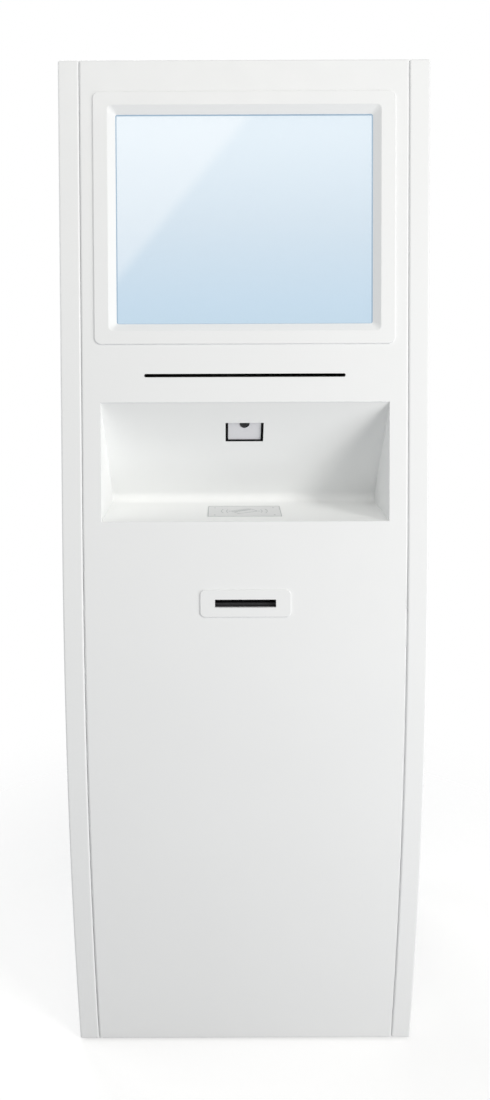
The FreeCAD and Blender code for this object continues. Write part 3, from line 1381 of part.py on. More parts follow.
def computer():
    """Equipment shelf, computer tray, cover and start button"""
    node("equipment_shelf", pan(("-shelf_half", "shelf_half"),
                                ("equipment_shelf_front", "equipment_shelf_rear"),
                                ("equipment_shelf_height - shelf_wall", "equipment_z"), "skin", "-z"))
    span_x, span_y = ("computer_left", "computer_right"), ("computer_front", "computer_rear")
    tray = pan(span_x, span_y, ("equipment_z", "computer_top"), "computer_wall", "+z")
    ports = []
    for index in range(int(SIZES["port_count"])):
        left = f"computer_left + port_pitch * {index + 1}"
        ports.append(box((left, f"{left} + port_wide"),
                         ("computer_rear - computer_wall - cut_overrun", "computer_rear + cut_overrun"),
                         ("computer_button_z - port_tall / 2", "computer_button_z + port_tall / 2")))
    hole = rod("y", "computer_button_radius + running_gap",
               ("computer_rear - computer_wall - cut_overrun", "computer_rear + cut_overrun"),
               "computer_button_x", "computer_button_z")
    node("computer_case", cut(tray, *ports, hole))
    lid = box(span_x, span_y, ("computer_top", "computer_top + computer_wall"))
    locating = box(("computer_left + computer_wall + plate_gap", "computer_right - computer_wall - plate_gap"),
                   ("computer_front + computer_wall + plate_gap", "computer_rear - computer_wall - plate_gap"),
                   ("computer_top - computer_wall", "computer_top"))
    slots = []
    for index in range(int(SIZES["supply_slot_count"])):
        front = f"computer_front + supply_slot_pitch * {index + 1}"
        slots.append(box(("computer_left + cover_slot_margin", "computer_right - cover_slot_margin"),
                         (front, f"{front} + supply_slot"),
                         ("computer_top - 2 * computer_wall", "computer_top + cut_overrun")))
    node("computer_cover", cut(join(lid, locating), *slots))
    push_button("computer_button", "computer_button_radius", "computer_cap_radius", "computer_button_x",
                "computer_button_z", "computer_rear - computer_wall", "computer_rear")


def power():
    """Power supply, inlet with its pins, and the rocker switch beside it"""
    right, rear = "supply_left + supply_wide", "supply_front + supply_long"
    case = box(("supply_left", right), ("supply_front", rear), ("equipment_z", "equipment_z + supply_tall"))
    step = box(("supply_left - cut_overrun", right + " + cut_overrun"),
               (rear + " - supply_step", rear + " + cut_overrun"),
               ("equipment_z + supply_tall / 2", "equipment_z + supply_tall + cut_overrun"))
    middle = "supply_left + supply_wide / 2"
    slots = []
    for index in range(int(SIZES["supply_slot_count"])):
        front = f"supply_front + supply_slot_pitch * {index + 1}"
        slots.append(box((f"{middle} - supply_slot_long / 2", f"{middle} + supply_slot_long / 2"),
                         (front, f"{front} + supply_slot"),
                         ("equipment_z + supply_tall - supply_slot_deep",
                          "equipment_z + supply_tall + cut_overrun")))
    node("power_supply", cut(case, step, *slots))

    left, far = "inlet_across - inlet_wide / 2", "inlet_across + inlet_wide / 2"
    low, high = "inlet_height - inlet_tall / 2", "inlet_height + inlet_tall / 2"
    body = box((left, far), ("rear_face - inlet_deep", "rear_face"), (low, high))
    flange = box((left + " - inlet_flange", far + " + inlet_flange"),
                 ("rear_face", "rear_face + inlet_flange_thickness"),
                 (low + " - inlet_flange", high + " + inlet_flange"))
    outside = "rear_face + inlet_flange_thickness + cut_overrun"
    socket = box(("socket_x - socket_wide / 2", "socket_x + socket_wide / 2"),
                 ("rear_face - socket_deep", outside),
                 ("inlet_height - socket_tall / 2", "inlet_height + socket_tall / 2"))
    well = box(("rocker_x - rocker_well_half", "rocker_x + rocker_well_half"),
               ("rear_face - rocker_well", outside),
               ("inlet_height - rocker_well_rise", "inlet_height + rocker_well_rise"))
    bore = rod("x", "rocker_pin_radius + running_gap",
               ("rocker_x - rocker_well_half - rocker_pin_hold", "rocker_x + rocker_well_half + rocker_pin_hold"),
               "rocker_y", "inlet_height")
    blades = []
    for shift, lift in (("-socket_pin_pitch", "-socket_pin_step"), ("0", "socket_pin_step"),
                        ("socket_pin_pitch", "-socket_pin_step")):
        blades.append(box((f"socket_x + {shift} - socket_pin_thickness / 2",
                           f"socket_x + {shift} + socket_pin_thickness / 2"),
                          ("rear_face - socket_deep - skin", "rear_face - skin"),
                          (f"inlet_height + {lift} - socket_pin_wide / 2",
                           f"inlet_height + {lift} + socket_pin_wide / 2")))
    node("power_inlet", join(cut(join(body, flange), socket, well, bore), *blades))

    paddle = box(("rocker_x - rocker_half", "rocker_x + rocker_half"),
                 ("rocker_y - rocker_deep / 2", "rocker_y + rocker_deep / 2"),
                 ("inlet_height - rocker_tall / 2", "inlet_height + rocker_tall / 2"))
    pivot = rod("x", "rocker_pin_radius",
                ("rocker_x - rocker_half - rocker_pin_hold", "rocker_x + rocker_half + rocker_pin_hold"),
                "rocker_y", "inlet_height")
    node("power_rocker", join(paddle, pivot))


# Fan

def fan():
    """Fan frame, rotor with its vanes, finger guard and screws"""
    square = box(("-fan_size / 2", "fan_size / 2"), ("fan_front", "rear_inside"),
                 ("fan_z - fan_size / 2", "fan_z + fan_size / 2"))
    duct = rod("y", "fan_bore_radius", ("fan_front - cut_overrun", "rear_inside + cut_overrun"), "0", "fan_z")
    screw_spots = [(x, f"fan_z + {z}") for x in ("-screw_across", "screw_across")
                   for z in ("-screw_across", "screw_across")]
    screw_holes = [rod("y", "screw_radius + seat_gap", ("rear_inside - screw_length", "rear_inside + cut_overrun"),
                       x, z) for x, z in screw_spots]
    hub_rear = "fan_front + fan_hub_thickness"
    hub = rod("y", "fan_hub_radius", ("fan_front", hub_rear), "0", "fan_z")
    struts = [box(("-fan_size / 2 + fan_strut / 2", "fan_size / 2 - fan_strut / 2"), ("fan_front", hub_rear),
                  ("fan_z - fan_strut / 2", "fan_z + fan_strut / 2")),
              box(("-fan_strut / 2", "fan_strut / 2"), ("fan_front", hub_rear),
                  ("fan_z - fan_size / 2 + fan_strut / 2", "fan_z + fan_size / 2 - fan_strut / 2"))]
    bearing = rod("y", "fan_shaft_radius + running_gap", ("fan_front - cut_overrun", f"{hub_rear} + cut_overrun"),
                  "0", "fan_z")
    node("fan_frame", cut(join(cut(square, duct, *screw_holes), hub, *struts), bearing))

    boss = rod("y", "rotor_hub_radius", ("rotor_front", "rotor_rear"), "0", "fan_z")
    spindle = rod("y", "fan_shaft_radius", ("fan_front", "rotor_rear"), "0", "fan_z")
    vanes = []
    middle = "(rotor_front + rotor_rear) / 2"
    for index in range(int(SIZES["blade_count"])):
        vane = doc.addObject("Part::Box", "vane")
        bind(vane, "Length", "rotor_radius - rotor_hub_radius / 2")
        bind(vane, "Width", "vane_wide")
        bind(vane, "Height", "vane_thickness")
        spin = f"rotation(vector(0; 1; 0); 360 * {index} / blade_count)"
        pitch = "rotation(vector(1; 0; 0); blade_angle)"
        bind(vane, "Placement", f"placement(vector(0; {middle}; fan_z); {spin} * {pitch})"
                                " * placement(vector(rotor_hub_radius / 2; -vane_wide / 2; -vane_thickness / 2);"
                                " rotation(vector(0; 0; 1); 0))")
        vanes.append(vane)
    sweep = rod("y", "rotor_radius", ("rotor_front", "rotor_rear"), "0", "fan_z")
    trimmed = doc.addObject("Part::MultiCommon", "trimmed")
    trimmed.Shapes = [join(*vanes), sweep]
    node("fan_rotor", join(boss, spindle, trimmed))

    layer = ("rear_face", "guard_rear")
    rings = []
    for index in range(int(SIZES["guard_rings"])):
        inner = f"guard_ring_pitch * {index + 1}"
        hole = rod("y", inner, ("rear_face - cut_overrun", "guard_rear + cut_overrun"), "0", "fan_z")
        rings.append(cut(rod("y", f"{inner} + guard_wire", layer, "0", "fan_z"), hole))
    reach = "guard_radius"
    ears = [rod("y", "screw_head_radius + guard_wire", layer, x, z) for x, z in screw_spots]
    spokes = []
    for turn in ("45", "-45"):
        spoke = doc.addObject("Part::Box", "spoke")
        bind(spoke, "Length", "2 * screw_across * sqrt(2)")
        bind(spoke, "Width", "guard_thickness")
        bind(spoke, "Height", "guard_wire")
        bind(spoke, "Placement", f"placement(vector(0; rear_face; fan_z); rotation(vector(0; 1; 0); {turn}))"
                                 " * placement(vector(-screw_across * sqrt(2); 0; -guard_wire / 2);"
                                 " rotation(vector(0; 0; 1); 0))")
        spokes.append(spoke)
    eyes = [rod("y", "screw_radius + seat_gap", ("rear_face - cut_overrun", "guard_rear + cut_overrun"), x, z)
            for x, z in screw_spots]
    node("fan_guard", cut(join(*rings, *ears, *spokes), *eyes))
    screws = []
    for x, z in screw_spots:
        shank = rod("y", "screw_radius", ("guard_rear - screw_length", "guard_rear"), x, z)
        head = rod("y", "screw_head_radius", ("guard_rear", "guard_rear + screw_head_thickness"), x, z)
        screws.append(join(shank, head))
    node("fan_screws", group(*screws))


def build():
    fill_sheets()
    left = side_panel("side_panel_left", "-width / 2")
    side_drains(left, "-seam_half", False)
    right = side_panel("side_panel_right", "seam_half")
    side_drains(right, "seam_half", True)
    front_panel()
    top_cover()
    rear_frame()
    rear_door()
    hinge_parts()
    locks()
    base()
    screen()
    niche()
    document_chute()
    document_printer()
    ticket_bezel()
    ticket_frame()
    ticket_drive()
    push_button("feed_button", "button_stem_radius", "button_cap_radius", "-button_across", "button_z",
                "frame_rear - frame_wall", "frame_rear")
    ticket_roll()
    computer()
    power()
    fan()
    doc.recompute()


def check_and_write():
    """Stop on any failed object or bad shape, then write one file for each sub-part"""
    for item in doc.Objects:
        if "Invalid" in item.State or "Error" in item.State:
            raise ValueError("%s failed: %s" % (item.Label, item.State))
    for name, thing in nodes.items():
        if thing.Shape.isNull() or not thing.Shape.isValid():
            raise ValueError("%s has a bad shape" % name)
    os.makedirs("parts", exist_ok=True)
    for name, thing in nodes.items():
        thing.Shape.exportStep("parts/%s.step" % name)
        print(name, len(thing.Shape.Solids), round(thing.Shape.Volume))


build()
check_and_write()
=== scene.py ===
"""Looks of a floor-standing self-service kiosk: finishes, trim, fasteners, studio light and camera.

Lengths are in metres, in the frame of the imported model: X runs along the width, Y runs from the user
towards the back and Z is up, with the floor at zero. The classes of small pieces hold their sizes in
millimetres, which mm and at turn into metres.
"""
import json
import logging
import math
from dataclasses import dataclass, field
from enum import Enum
from typing import Any, Optional, Sequence, Union

import bmesh
import bpy
from mathutils import Matrix, Vector


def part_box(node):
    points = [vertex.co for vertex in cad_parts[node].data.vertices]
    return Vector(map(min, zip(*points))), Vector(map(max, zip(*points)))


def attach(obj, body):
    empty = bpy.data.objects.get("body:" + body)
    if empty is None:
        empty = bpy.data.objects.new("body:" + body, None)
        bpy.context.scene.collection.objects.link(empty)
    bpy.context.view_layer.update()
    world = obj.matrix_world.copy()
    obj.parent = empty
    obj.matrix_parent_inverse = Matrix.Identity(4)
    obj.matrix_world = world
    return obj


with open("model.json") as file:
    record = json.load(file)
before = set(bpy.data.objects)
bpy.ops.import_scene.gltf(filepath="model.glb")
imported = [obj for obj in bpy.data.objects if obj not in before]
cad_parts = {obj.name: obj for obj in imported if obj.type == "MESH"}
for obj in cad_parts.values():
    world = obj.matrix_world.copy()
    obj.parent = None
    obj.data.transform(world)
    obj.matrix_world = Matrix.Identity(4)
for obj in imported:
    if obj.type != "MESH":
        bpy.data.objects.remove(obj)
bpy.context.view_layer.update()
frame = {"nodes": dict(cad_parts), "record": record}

LOG = logging.getLogger("kiosk")
MM = 0.001

Colour = tuple[float, float, float]
Point = tuple[float, float, float]
Span = tuple[float, float]


def rgb(red: int, green: int, blue: int) -> Colour:
    """Turns a colour as a screen shows it, 0 to 255 a channel, into the linear values of a shader.

    Args:
        red: The red channel.
        green: The green channel.
        blue: The blue channel.

    Returns:
        The three linear channels.
    """
    shown = [channel / 255 for channel in (red, green, blue)]
    linear = [c / 12.92 if c <= 0.04045 else ((c + 0.055) / 1.055) ** 2.4 for c in shown]
    return (linear[0], linear[1], linear[2])


class Signal:
    """A number, vector or colour inside a material, with the usual arithmetic for numbers."""

    def __init__(self, recipe: "Recipe", socket: bpy.types.NodeSocket) -> None:
        """Keeps the socket and the recipe that it belongs to."""
        self.recipe = recipe
        self.socket = socket

    def __add__(self, other: "Term") -> "Signal":
        """Adds a number or another signal."""
        return self.recipe.maths("ADD", self, other)

    def __sub__(self, other: "Term") -> "Signal":
        """Takes a number or another signal away."""
        return self.recipe.maths("SUBTRACT", self, other)

    def __rsub__(self, other: "Term") -> "Signal":
        """Takes this signal away from a number."""
        return self.recipe.maths("SUBTRACT", other, self)

    def __mul__(self, other: "Term") -> "Signal":
        """Multiplies by a number or another signal."""
        return self.recipe.maths("MULTIPLY", self, other)

    def __truediv__(self, other: "Term") -> "Signal":
        """Divides by a number or another signal."""
        return self.recipe.maths("DIVIDE", self, other)

    def __abs__(self) -> "Signal":
        """Drops the sign."""
        return self.recipe.maths("ABSOLUTE", self)

    __radd__ = __add__
    __rmul__ = __mul__

    def most(self, other: "Term") -> "Signal":
        """Keeps the larger of two values."""
        return self.recipe.maths("MAXIMUM", self, other)

    def ramp(self, low: float, high: float, start: float = 0.0, end: float = 1.0) -> "Signal":
        """Runs smoothly from one value to another while the signal runs from low to high.

        Args:
            low: The signal at which the ramp starts.
            high: The signal at which the ramp ends.
            start: The result at and before low.
            end: The result at and past high.

        Returns:
            The ramped signal.
        """
        sockets = {"Value": self, "From Min": low, "From Max": high, "To Min": start, "To Max": end}
        return self.recipe.node("ShaderNodeMapRange", sockets, {"interpolation_type": "SMOOTHSTEP"}, "Result")


Term = Union[Signal, float]
Tint = Union[Signal, Colour]


class Recipe:
    """A material under construction."""

    MIX_A, MIX_B, MIX_RESULT = 6, 7, 2

    def __init__(self, name: str) -> None:
        """Starts an empty node tree under the finish's name."""
        self.material = bpy.data.materials.new(name)
        self.material.use_nodes = True
        self.tree = self.material.node_tree
        self.tree.nodes.clear()

    @classmethod
    def inside(cls, tree: bpy.types.NodeTree) -> "Recipe":
        """Starts afresh in a node tree that isn't a material's."""
        recipe = cls.__new__(cls)
        recipe.tree = tree
        tree.nodes.clear()
        return recipe

    def node(self, kind: str, sockets: dict[Any, Any], settings: Optional[dict[str, Any]] = None,
             result: Union[str, int] = 0) -> Optional[Signal]:
        """Adds one node, sets it up and connects it.

        Args:
            kind: The node's type.
            sockets: What each input holds, a value or a signal, under its name or number.
            settings: The node's own settings, with a colour ramp's stops under "stops".
            result: The name or number of the output that is wanted.

        Returns:
            The wanted output, or None from a node that has no output.
        """
        made = self.tree.nodes.new(kind)
        for name, value in (settings or {}).items():
            if name == "stops":
                self._set_stops(made.color_ramp, value)
            else:
                setattr(made, name, value)
        for name, value in sockets.items():
            if isinstance(value, Signal):
                self.tree.links.new(value.socket, made.inputs[name])
            elif isinstance(value, tuple) and made.inputs[name].type == "RGBA":
                made.inputs[name].default_value = (*value, 1.0)
            else:
                made.inputs[name].default_value = value
        return Signal(self, made.outputs[result]) if made.outputs else None

    @staticmethod
    def _set_stops(ramp: bpy.types.ColorRamp, stops: Sequence[tuple[float, Colour]]) -> None:
        """Gives a colour ramp its stops.

        Args:
            ramp: The ramp of a new node, which has two stops.
            stops: The place and colour of each stop, from left to right.
        """
        while len(ramp.elements) < len(stops):
            ramp.elements.new(1.0)
        for element, (place, colour) in zip(ramp.elements, stops):
            element.position = place
            element.color = (*colour, 1.0)

    def maths(self, operation: str, *terms: Term) -> Signal:
        """Adds a Math node.

        Args:
            operation: The node's operation.
            terms: Its one or two inputs.

        Returns:
            The result.
        """
        return self.node("ShaderNodeMath", dict(enumerate(terms)), {"operation": operation})

    def place(self) -> Signal:
        """Gives the point of the surface in the object's own metres."""
        return self.node("ShaderNodeTexCoord", {}, result="Object")

    def axes(self) -> tuple[Signal, Signal, Signal]:
        """Gives the X, Y and Z of the surface point as three numbers."""
        split = self.node("ShaderNodeSeparateXYZ", {0: self.place()})
        outputs = split.socket.node.outputs
        return (split, Signal(self, outputs[1]), Signal(self, outputs[2]))

    def stretched(self, scale: Point) -> Signal:
        """Gives the surface point with each axis scaled by itself."""
        return self.node("ShaderNodeMapping", {"Vector": self.place(), "Scale": scale})

    def noise(self, scale: float, detail: float = 3.0, roughness: float = 0.55,
              where: Optional[Signal] = None) -> Signal:
        """Gives cloudy noise from 0 to 1.

        Args:
            scale: How many clouds fit in a metre, about.
            detail: How many finer layers lie on it.
            roughness: How strong the finer layers are.
            where: The point that is read, the surface point unless another is given.

        Returns:
            The noise as a number.
        """
        sockets = {"Vector": where or self.place(), "Scale": scale, "Detail": detail, "Roughness": roughness}
        return self.node("ShaderNodeTexNoise", sockets, result="Fac")

    def blend(self, mask: Term, first: Tint, second: Tint) -> Signal:
        """Goes from the first colour to the second as the mask goes from 0 to 1."""
        return self.node("ShaderNodeMix", {0: mask, self.MIX_A: first, self.MIX_B: second},
                         {"data_type": "RGBA"}, self.MIX_RESULT)

    def shaded(self, colour: Colour, mask: Term, depth: float) -> Signal:
        """Gives a colour that runs between a darker and a lighter tone of itself.

        Args:
            colour: The middle tone.
            mask: A number from 0, darkest, to 1, lightest.
            depth: How far each end lies from the middle, as a share.

        Returns:
            The colour.
        """
        darker = tuple(channel * (1 - depth) for channel in colour)
        lighter = tuple(min(1.0, channel * (1 + depth)) for channel in colour)
        return self.blend(mask, darker, lighter)

    def seen(self) -> Signal:
        """Gives 1 where the camera, a reflection or clear glass looks, and 0 for bounced light."""
        camera = self.node("ShaderNodeLightPath", {}, result="Is Camera Ray")
        outputs = camera.socket.node.outputs
        glossy, clear = Signal(self, outputs["Is Glossy Ray"]), Signal(self, outputs["Is Transmission Ray"])
        return camera.most(glossy).most(clear)

    def bump(self, height: Term, depth: float, under: Optional[Signal] = None) -> Signal:
        """Gives a normal that follows a height from 0 to 1 over a real depth in metres."""
        sockets: dict[str, Any] = {"Height": height, "Distance": depth, "Strength": 1.0}
        if under is not None:
            sockets["Normal"] = under
        return self.node("ShaderNodeBump", sockets, result="Normal")

    def surface(self, **sockets: Any) -> bpy.types.Material:
        """Closes the recipe with a Principled surface.

        Args:
            sockets: Its inputs, under their names with spaces as underscores.

        Returns:
            The finished material.
        """
        named = {name.replace("_", " "): value for name, value in sockets.items()}
        return self.close(self.node("ShaderNodeBsdfPrincipled", named))

    def close(self, shader: Signal) -> bpy.types.Material:
        """Connects the last shader to the material's output."""
        self.node("ShaderNodeOutputMaterial", {"Surface": shader})
        return self.material


class Grain(Enum):
    """The direction in which a metal surface was brushed, as its stretch along X, Y and Z."""

    ALONG_X = (0.04, 1.0, 1.0)
    ALONG_Y = (1.0, 0.04, 1.0)
    ALONG_Z = (1.0, 1.0, 0.04)


@dataclass(frozen=True)
class PowderCoat:
    """Satin powder coat on sheet metal: fine orange peel, faint mottling and uneven gloss."""

    name: str
    colour: Colour
    gloss_low: float = 0.36
    gloss_high: float = 0.48
    peel_size: float = 1.4 * MM
    peel_depth: float = 0.012 * MM
    mottle: float = 0.012
    shine: float = 0.5

    def make(self) -> bpy.types.Material:
        """Builds the material."""
        recipe = Recipe(self.name)
        clouds = recipe.noise(5.0, 2.0)
        peel = recipe.noise(1 / self.peel_size, 2.0, 0.5)
        return recipe.surface(
            Base_Color=recipe.shaded(self.colour, clouds, self.mottle),
            Roughness=recipe.noise(28.0, 4.0).ramp(0.3, 0.7, self.gloss_low, self.gloss_high),
            Normal=recipe.bump(peel, self.peel_depth),
            Specular_IOR_Level=self.shine,
        )


@dataclass(frozen=True)
class Galvanised:
    """Zinc-coated sheet: a pattern of dull and bright crystals with faint rolling marks."""

    name: str
    colour: Colour
    spangle: float = 9 * MM

    def make(self) -> bpy.types.Material:
        """Builds the material."""
        recipe = Recipe(self.name)
        sockets = {"Vector": recipe.place(), "Scale": 0.5 / self.spangle, "Detail": 4.0}
        ragged = recipe.node("ShaderNodeTexNoise", sockets, result="Color")
        shifted = recipe.node("ShaderNodeVectorMath", {0: ragged, 1: (self.spangle,) * 3, 2: recipe.place()},
                              {"operation": "MULTIPLY_ADD"})
        cells = recipe.node("ShaderNodeTexVoronoi", {"Vector": shifted, "Scale": 1 / self.spangle},
                            {"feature": "SMOOTH_F1"}, "Color")
        tone = recipe.node("ShaderNodeSeparateXYZ", {0: cells})
        rolling = recipe.noise(400.0, 3.0, 0.6, recipe.stretched(Grain.ALONG_X.value))
        return recipe.surface(
            Base_Color=recipe.shaded(self.colour, tone * 0.7 + rolling * 0.3, 0.16),
            Metallic=0.9,
            Roughness=tone.ramp(0.0, 1.0, 0.34, 0.52),
            Normal=recipe.bump(rolling, 0.004 * MM),
        )


@dataclass(frozen=True)
class Metal:
    """Bare or plated metal, brushed or turned, with handling marks."""

    name: str
    colour: Colour
    rough: float = 0.3
    brushed: Optional[Grain] = None
    mark_depth: float = 0.01 * MM
    marks: float = 700.0

    def make(self) -> bpy.types.Material:
        """Builds the material."""
        recipe = Recipe(self.name)
        where = recipe.stretched(self.brushed.value) if self.brushed else None
        lines = recipe.noise(self.marks, 4.0, 0.6, where)
        smears = recipe.noise(35.0, 3.0)
        return recipe.surface(
            Base_Color=recipe.shaded(self.colour, lines * 0.5 + smears * 0.5, 0.10),
            Metallic=1.0,
            Roughness=(lines * 0.4 + smears * 0.6).ramp(0.3, 0.7, self.rough * 0.8, self.rough * 1.3),
            Normal=recipe.bump(lines, self.mark_depth),
        )


@dataclass(frozen=True)
class Moulded:
    """Moulded plastic with a spark-eroded grain and slightly polished high spots."""

    name: str
    colour: Colour
    rough: float = 0.45
    grain_size: float = 0.6 * MM
    grain_depth: float = 0.02 * MM
    variation: float = 0.04
    shine: float = 0.5

    def make(self) -> bpy.types.Material:
        """Builds the material."""
        recipe = Recipe(self.name)
        grain = recipe.noise(1 / self.grain_size, 2.0, 0.6)
        clouds = recipe.noise(22.0, 3.0)
        return recipe.surface(
            Base_Color=recipe.shaded(self.colour, clouds * 0.6 + grain * 0.4, self.variation),
            Roughness=(clouds * 0.5 + grain * 0.5).ramp(0.3, 0.7, self.rough * 0.85, self.rough * 1.15),
            Normal=recipe.bump(grain, self.grain_depth),
            Specular_IOR_Level=self.shine,
        )


@dataclass(frozen=True)
class Rubber:
    """Dull rubber with dust caught in its pores."""

    name: str
    colour: Colour
    dust: Colour = (0.16, 0.16, 0.155)

    def make(self) -> bpy.types.Material:
        """Builds the material."""
        recipe = Recipe(self.name)
        pores = recipe.noise(900.0, 3.0, 0.6)
        dusty = recipe.noise(60.0, 4.0).ramp(0.5, 0.8, 0.0, 0.35)
        return recipe.surface(
            Base_Color=recipe.blend(dusty, self.colour, self.dust),
            Roughness=pores.ramp(0.3, 0.7, 0.7, 0.9),
            Normal=recipe.bump(pores, 0.03 * MM),
        )


@dataclass(frozen=True)
class Paper:
    """A stack or a roll of paper, whose cut edges show as fine layers."""

    name: str
    colour: Colour
    layers: float = 2600.0

    def make(self) -> bpy.types.Material:
        """Builds the material."""
        recipe = Recipe(self.name)
        edges = recipe.noise(self.layers, 1.0, 0.5, recipe.stretched((0.01, 0.01, 1.0)))
        fibres = recipe.noise(500.0, 4.0, 0.7)
        return recipe.surface(
            Base_Color=recipe.shaded(self.colour, edges * 0.6 + fibres * 0.4, 0.07),
            Roughness=fibres.ramp(0.3, 0.7, 0.75, 0.9),
            Normal=recipe.bump(edges, 0.03 * MM),
        )


@dataclass(frozen=True)
class Glazing:
    """Thin clear cover glass with a faint tint and a trace of finger marks."""

    name: str
    tint: Colour
    cover: float = 0.06

    def make(self) -> bpy.types.Material:
        """Builds the material."""
        recipe = Recipe(self.name)
        prints = recipe.noise(30.0, 5.0, 0.65)
        return recipe.surface(
            Base_Color=recipe.shaded(self.tint, prints, 0.02),
            Roughness=prints.ramp(0.45, 0.75, 0.04, 0.10),
            Alpha=self.cover,
        )


@dataclass(frozen=True)
class LitDisplay:
    """A lit display: a pale blue field that deepens downwards, with a painted gloss highlight above a soft
    slanting edge.
    """

    name: str
    low: Vector
    high: Vector
    stops: tuple[tuple[float, Colour], ...] = (
        (0.0, rgb(187, 210, 227)),
        (0.1, rgb(190, 212, 229)),
        (0.5, rgb(203, 218, 230)),
        (0.9, rgb(217, 229, 238)),
    )
    # Where the painted gloss highlight starts, how soft its edge is, how strong and how pale it is.
    edge_foot: Point = (-0.191, 0.0, 1.226)
    edge_top: Point = (0.008, 0.0, 1.464)
    edge_soft: float = 12 * MM
    painted_gloss_strength: float = 0.26
    painted_gloss_tone: Colour = rgb(255, 255, 255)
    border: float = 1.4 * MM
    border_soft: float = 0.2 * MM
    border_tone: Colour = rgb(150, 176, 198)
    unlit: Colour = (0.01, 0.012, 0.015)

    def make(self) -> bpy.types.Material:
        """Builds the material."""
        recipe = Recipe(self.name)
        across, _, up = recipe.axes()
        rise = (up - self.low.z) / (self.high.z - self.low.z)
        plain = recipe.node("ShaderNodeValToRGB", {0: rise}, {"stops": self.stops}, "Color")
        slant = (Vector(self.edge_top) - Vector(self.edge_foot)).normalized()
        beyond = (up - self.edge_foot[2]) * slant.x - (across - self.edge_foot[0]) * slant.z
        # Painted highlight: above the slanting edge the display's light is lifted towards white, a gloss
        # painted into the emission.
        lit = recipe.blend(beyond.ramp(-self.edge_soft, self.edge_soft, 0.0, self.painted_gloss_strength),
                           plain, self.painted_gloss_tone)
        side = abs(across) - (self.high.x - self.border)
        ends = abs(up - (self.low.z + self.high.z) / 2) - ((self.high.z - self.low.z) / 2 - self.border)
        outside = side.most(ends).ramp(-self.border_soft, self.border_soft)
        framed = recipe.blend(outside, lit, self.border_tone)
        return recipe.surface(
            Base_Color=self.unlit,
            Roughness=0.25,
            Emission_Color=framed,
            Emission_Strength=1.0,
        )


def finishes() -> dict[str, bpy.types.Material]:
    """Builds every finish of the kiosk once.

    Returns:
        The materials by the name of the record's slot that they dress.
    """
    glass_low, glass_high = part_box("touch_glass")
    hidden = Vector((5 * MM, 0.0, 4.9 * MM))
    made = [
        PowderCoat("cabinet_white", rgb(238, 239, 240)),
        Galvanised("inner_sheet", (0.56, 0.57, 0.58)),
        Metal("steel", (0.55, 0.56, 0.57), 0.32, Grain.ALONG_Z),
        Metal("chrome", (0.78, 0.79, 0.80), 0.12),
        Metal("motor_steel", (0.46, 0.46, 0.45), 0.38, Grain.ALONG_X),
        Metal("supply_steel", (0.62, 0.63, 0.64), 0.4, Grain.ALONG_Y),
        PowderCoat("black_metal", (0.018, 0.018, 0.02), 0.45, 0.6, peel_size=0.8 * MM, peel_depth=0.02 * MM,
                   mottle=0.2),
        Metal("brass", (0.72, 0.52, 0.24), 0.3),
        Rubber("rubber", (0.022, 0.022, 0.023)),
        Moulded("black_plastic", (0.016, 0.016, 0.018), 0.5),
        Moulded("grey_plastic", (0.42, 0.43, 0.44), 0.5),
        Moulded("printer_plastic", (0.50, 0.50, 0.49), 0.5),
        Moulded("pad_plastic", rgb(222, 223, 224), 0.4, 0.5 * MM, 0.012 * MM, 0.02),
        Moulded("pad_marks", rgb(176, 180, 182), 0.5, 0.5 * MM, 0.01 * MM, 0.02),
        Moulded("scanner_grey", rgb(229, 229, 233), 0.45, 0.5 * MM, 0.01 * MM, 0.02),
        Moulded("board", (0.012, 0.05, 0.03), 0.3, 3 * MM, 0.02 * MM, 0.25),
        # The housing's own black plastic, made blacker than the rest as painted shade in the gap round the
        # scanner window.
        Moulded("scanner_black_and_painted_shade", (0.005, 0.005, 0.006), 0.6, shine=0.12),
        # The niche's coat is a lighter copy of the cabinet's white: painted light that brightens the shaded
        # recess.
        PowderCoat("niche_white_painted_lighter", rgb(246, 247, 247), 0.62, 0.74, shine=0.15),
        Moulded("slot_plastic", rgb(238, 239, 240), 0.36, 0.8 * MM, 0.01 * MM, 0.012),
        Moulded("button_plastic", (0.05, 0.22, 0.09), 0.4),
        Moulded("rocker_plastic", (0.35, 0.03, 0.025), 0.35),
        Moulded("gear_plastic", (0.72, 0.70, 0.64), 0.45),
        Moulded("lens", (0.006, 0.007, 0.010), 0.08, 2 * MM, 0.0005 * MM),
        Glazing("glass", (0.75, 0.85, 0.92)),
        LitDisplay("display", glass_low + hidden, glass_high - hidden),
        Moulded("ceramic", (0.78, 0.77, 0.72), 0.25, 1.5 * MM, 0.004 * MM),
        Paper("paper", (0.86, 0.85, 0.82)),
    ]
    return {finish.name: finish.make() for finish in made}


# Nodes whose finish differs from the one that their slot gives.
OWN_FINISH = {
    # The niche tray takes the lighter white, painted light for the recess.
    "niche_tray": "niche_white_painted_lighter",
    "scanner_face": "scanner_grey",
    # The scanner housing is partly its own black and partly painted shade for the window gap.
    "scanner_housing": "scanner_black_and_painted_shade",
}


def dress_nodes(materials: dict[str, bpy.types.Material]) -> None:
    """Gives every node of the frame its own finish, or that of its slot.

    Args:
        materials: The finishes by slot.
    """
    for row in frame["record"]["subparts"]:
        name, slot = row["node"], row["material_slot"]
        node = frame["nodes"][name]
        node.data.materials.clear()
        node.data.materials.append(materials[OWN_FINISH.get(name, slot)])
        LOG.info("dressed %s in %s", name, slot)


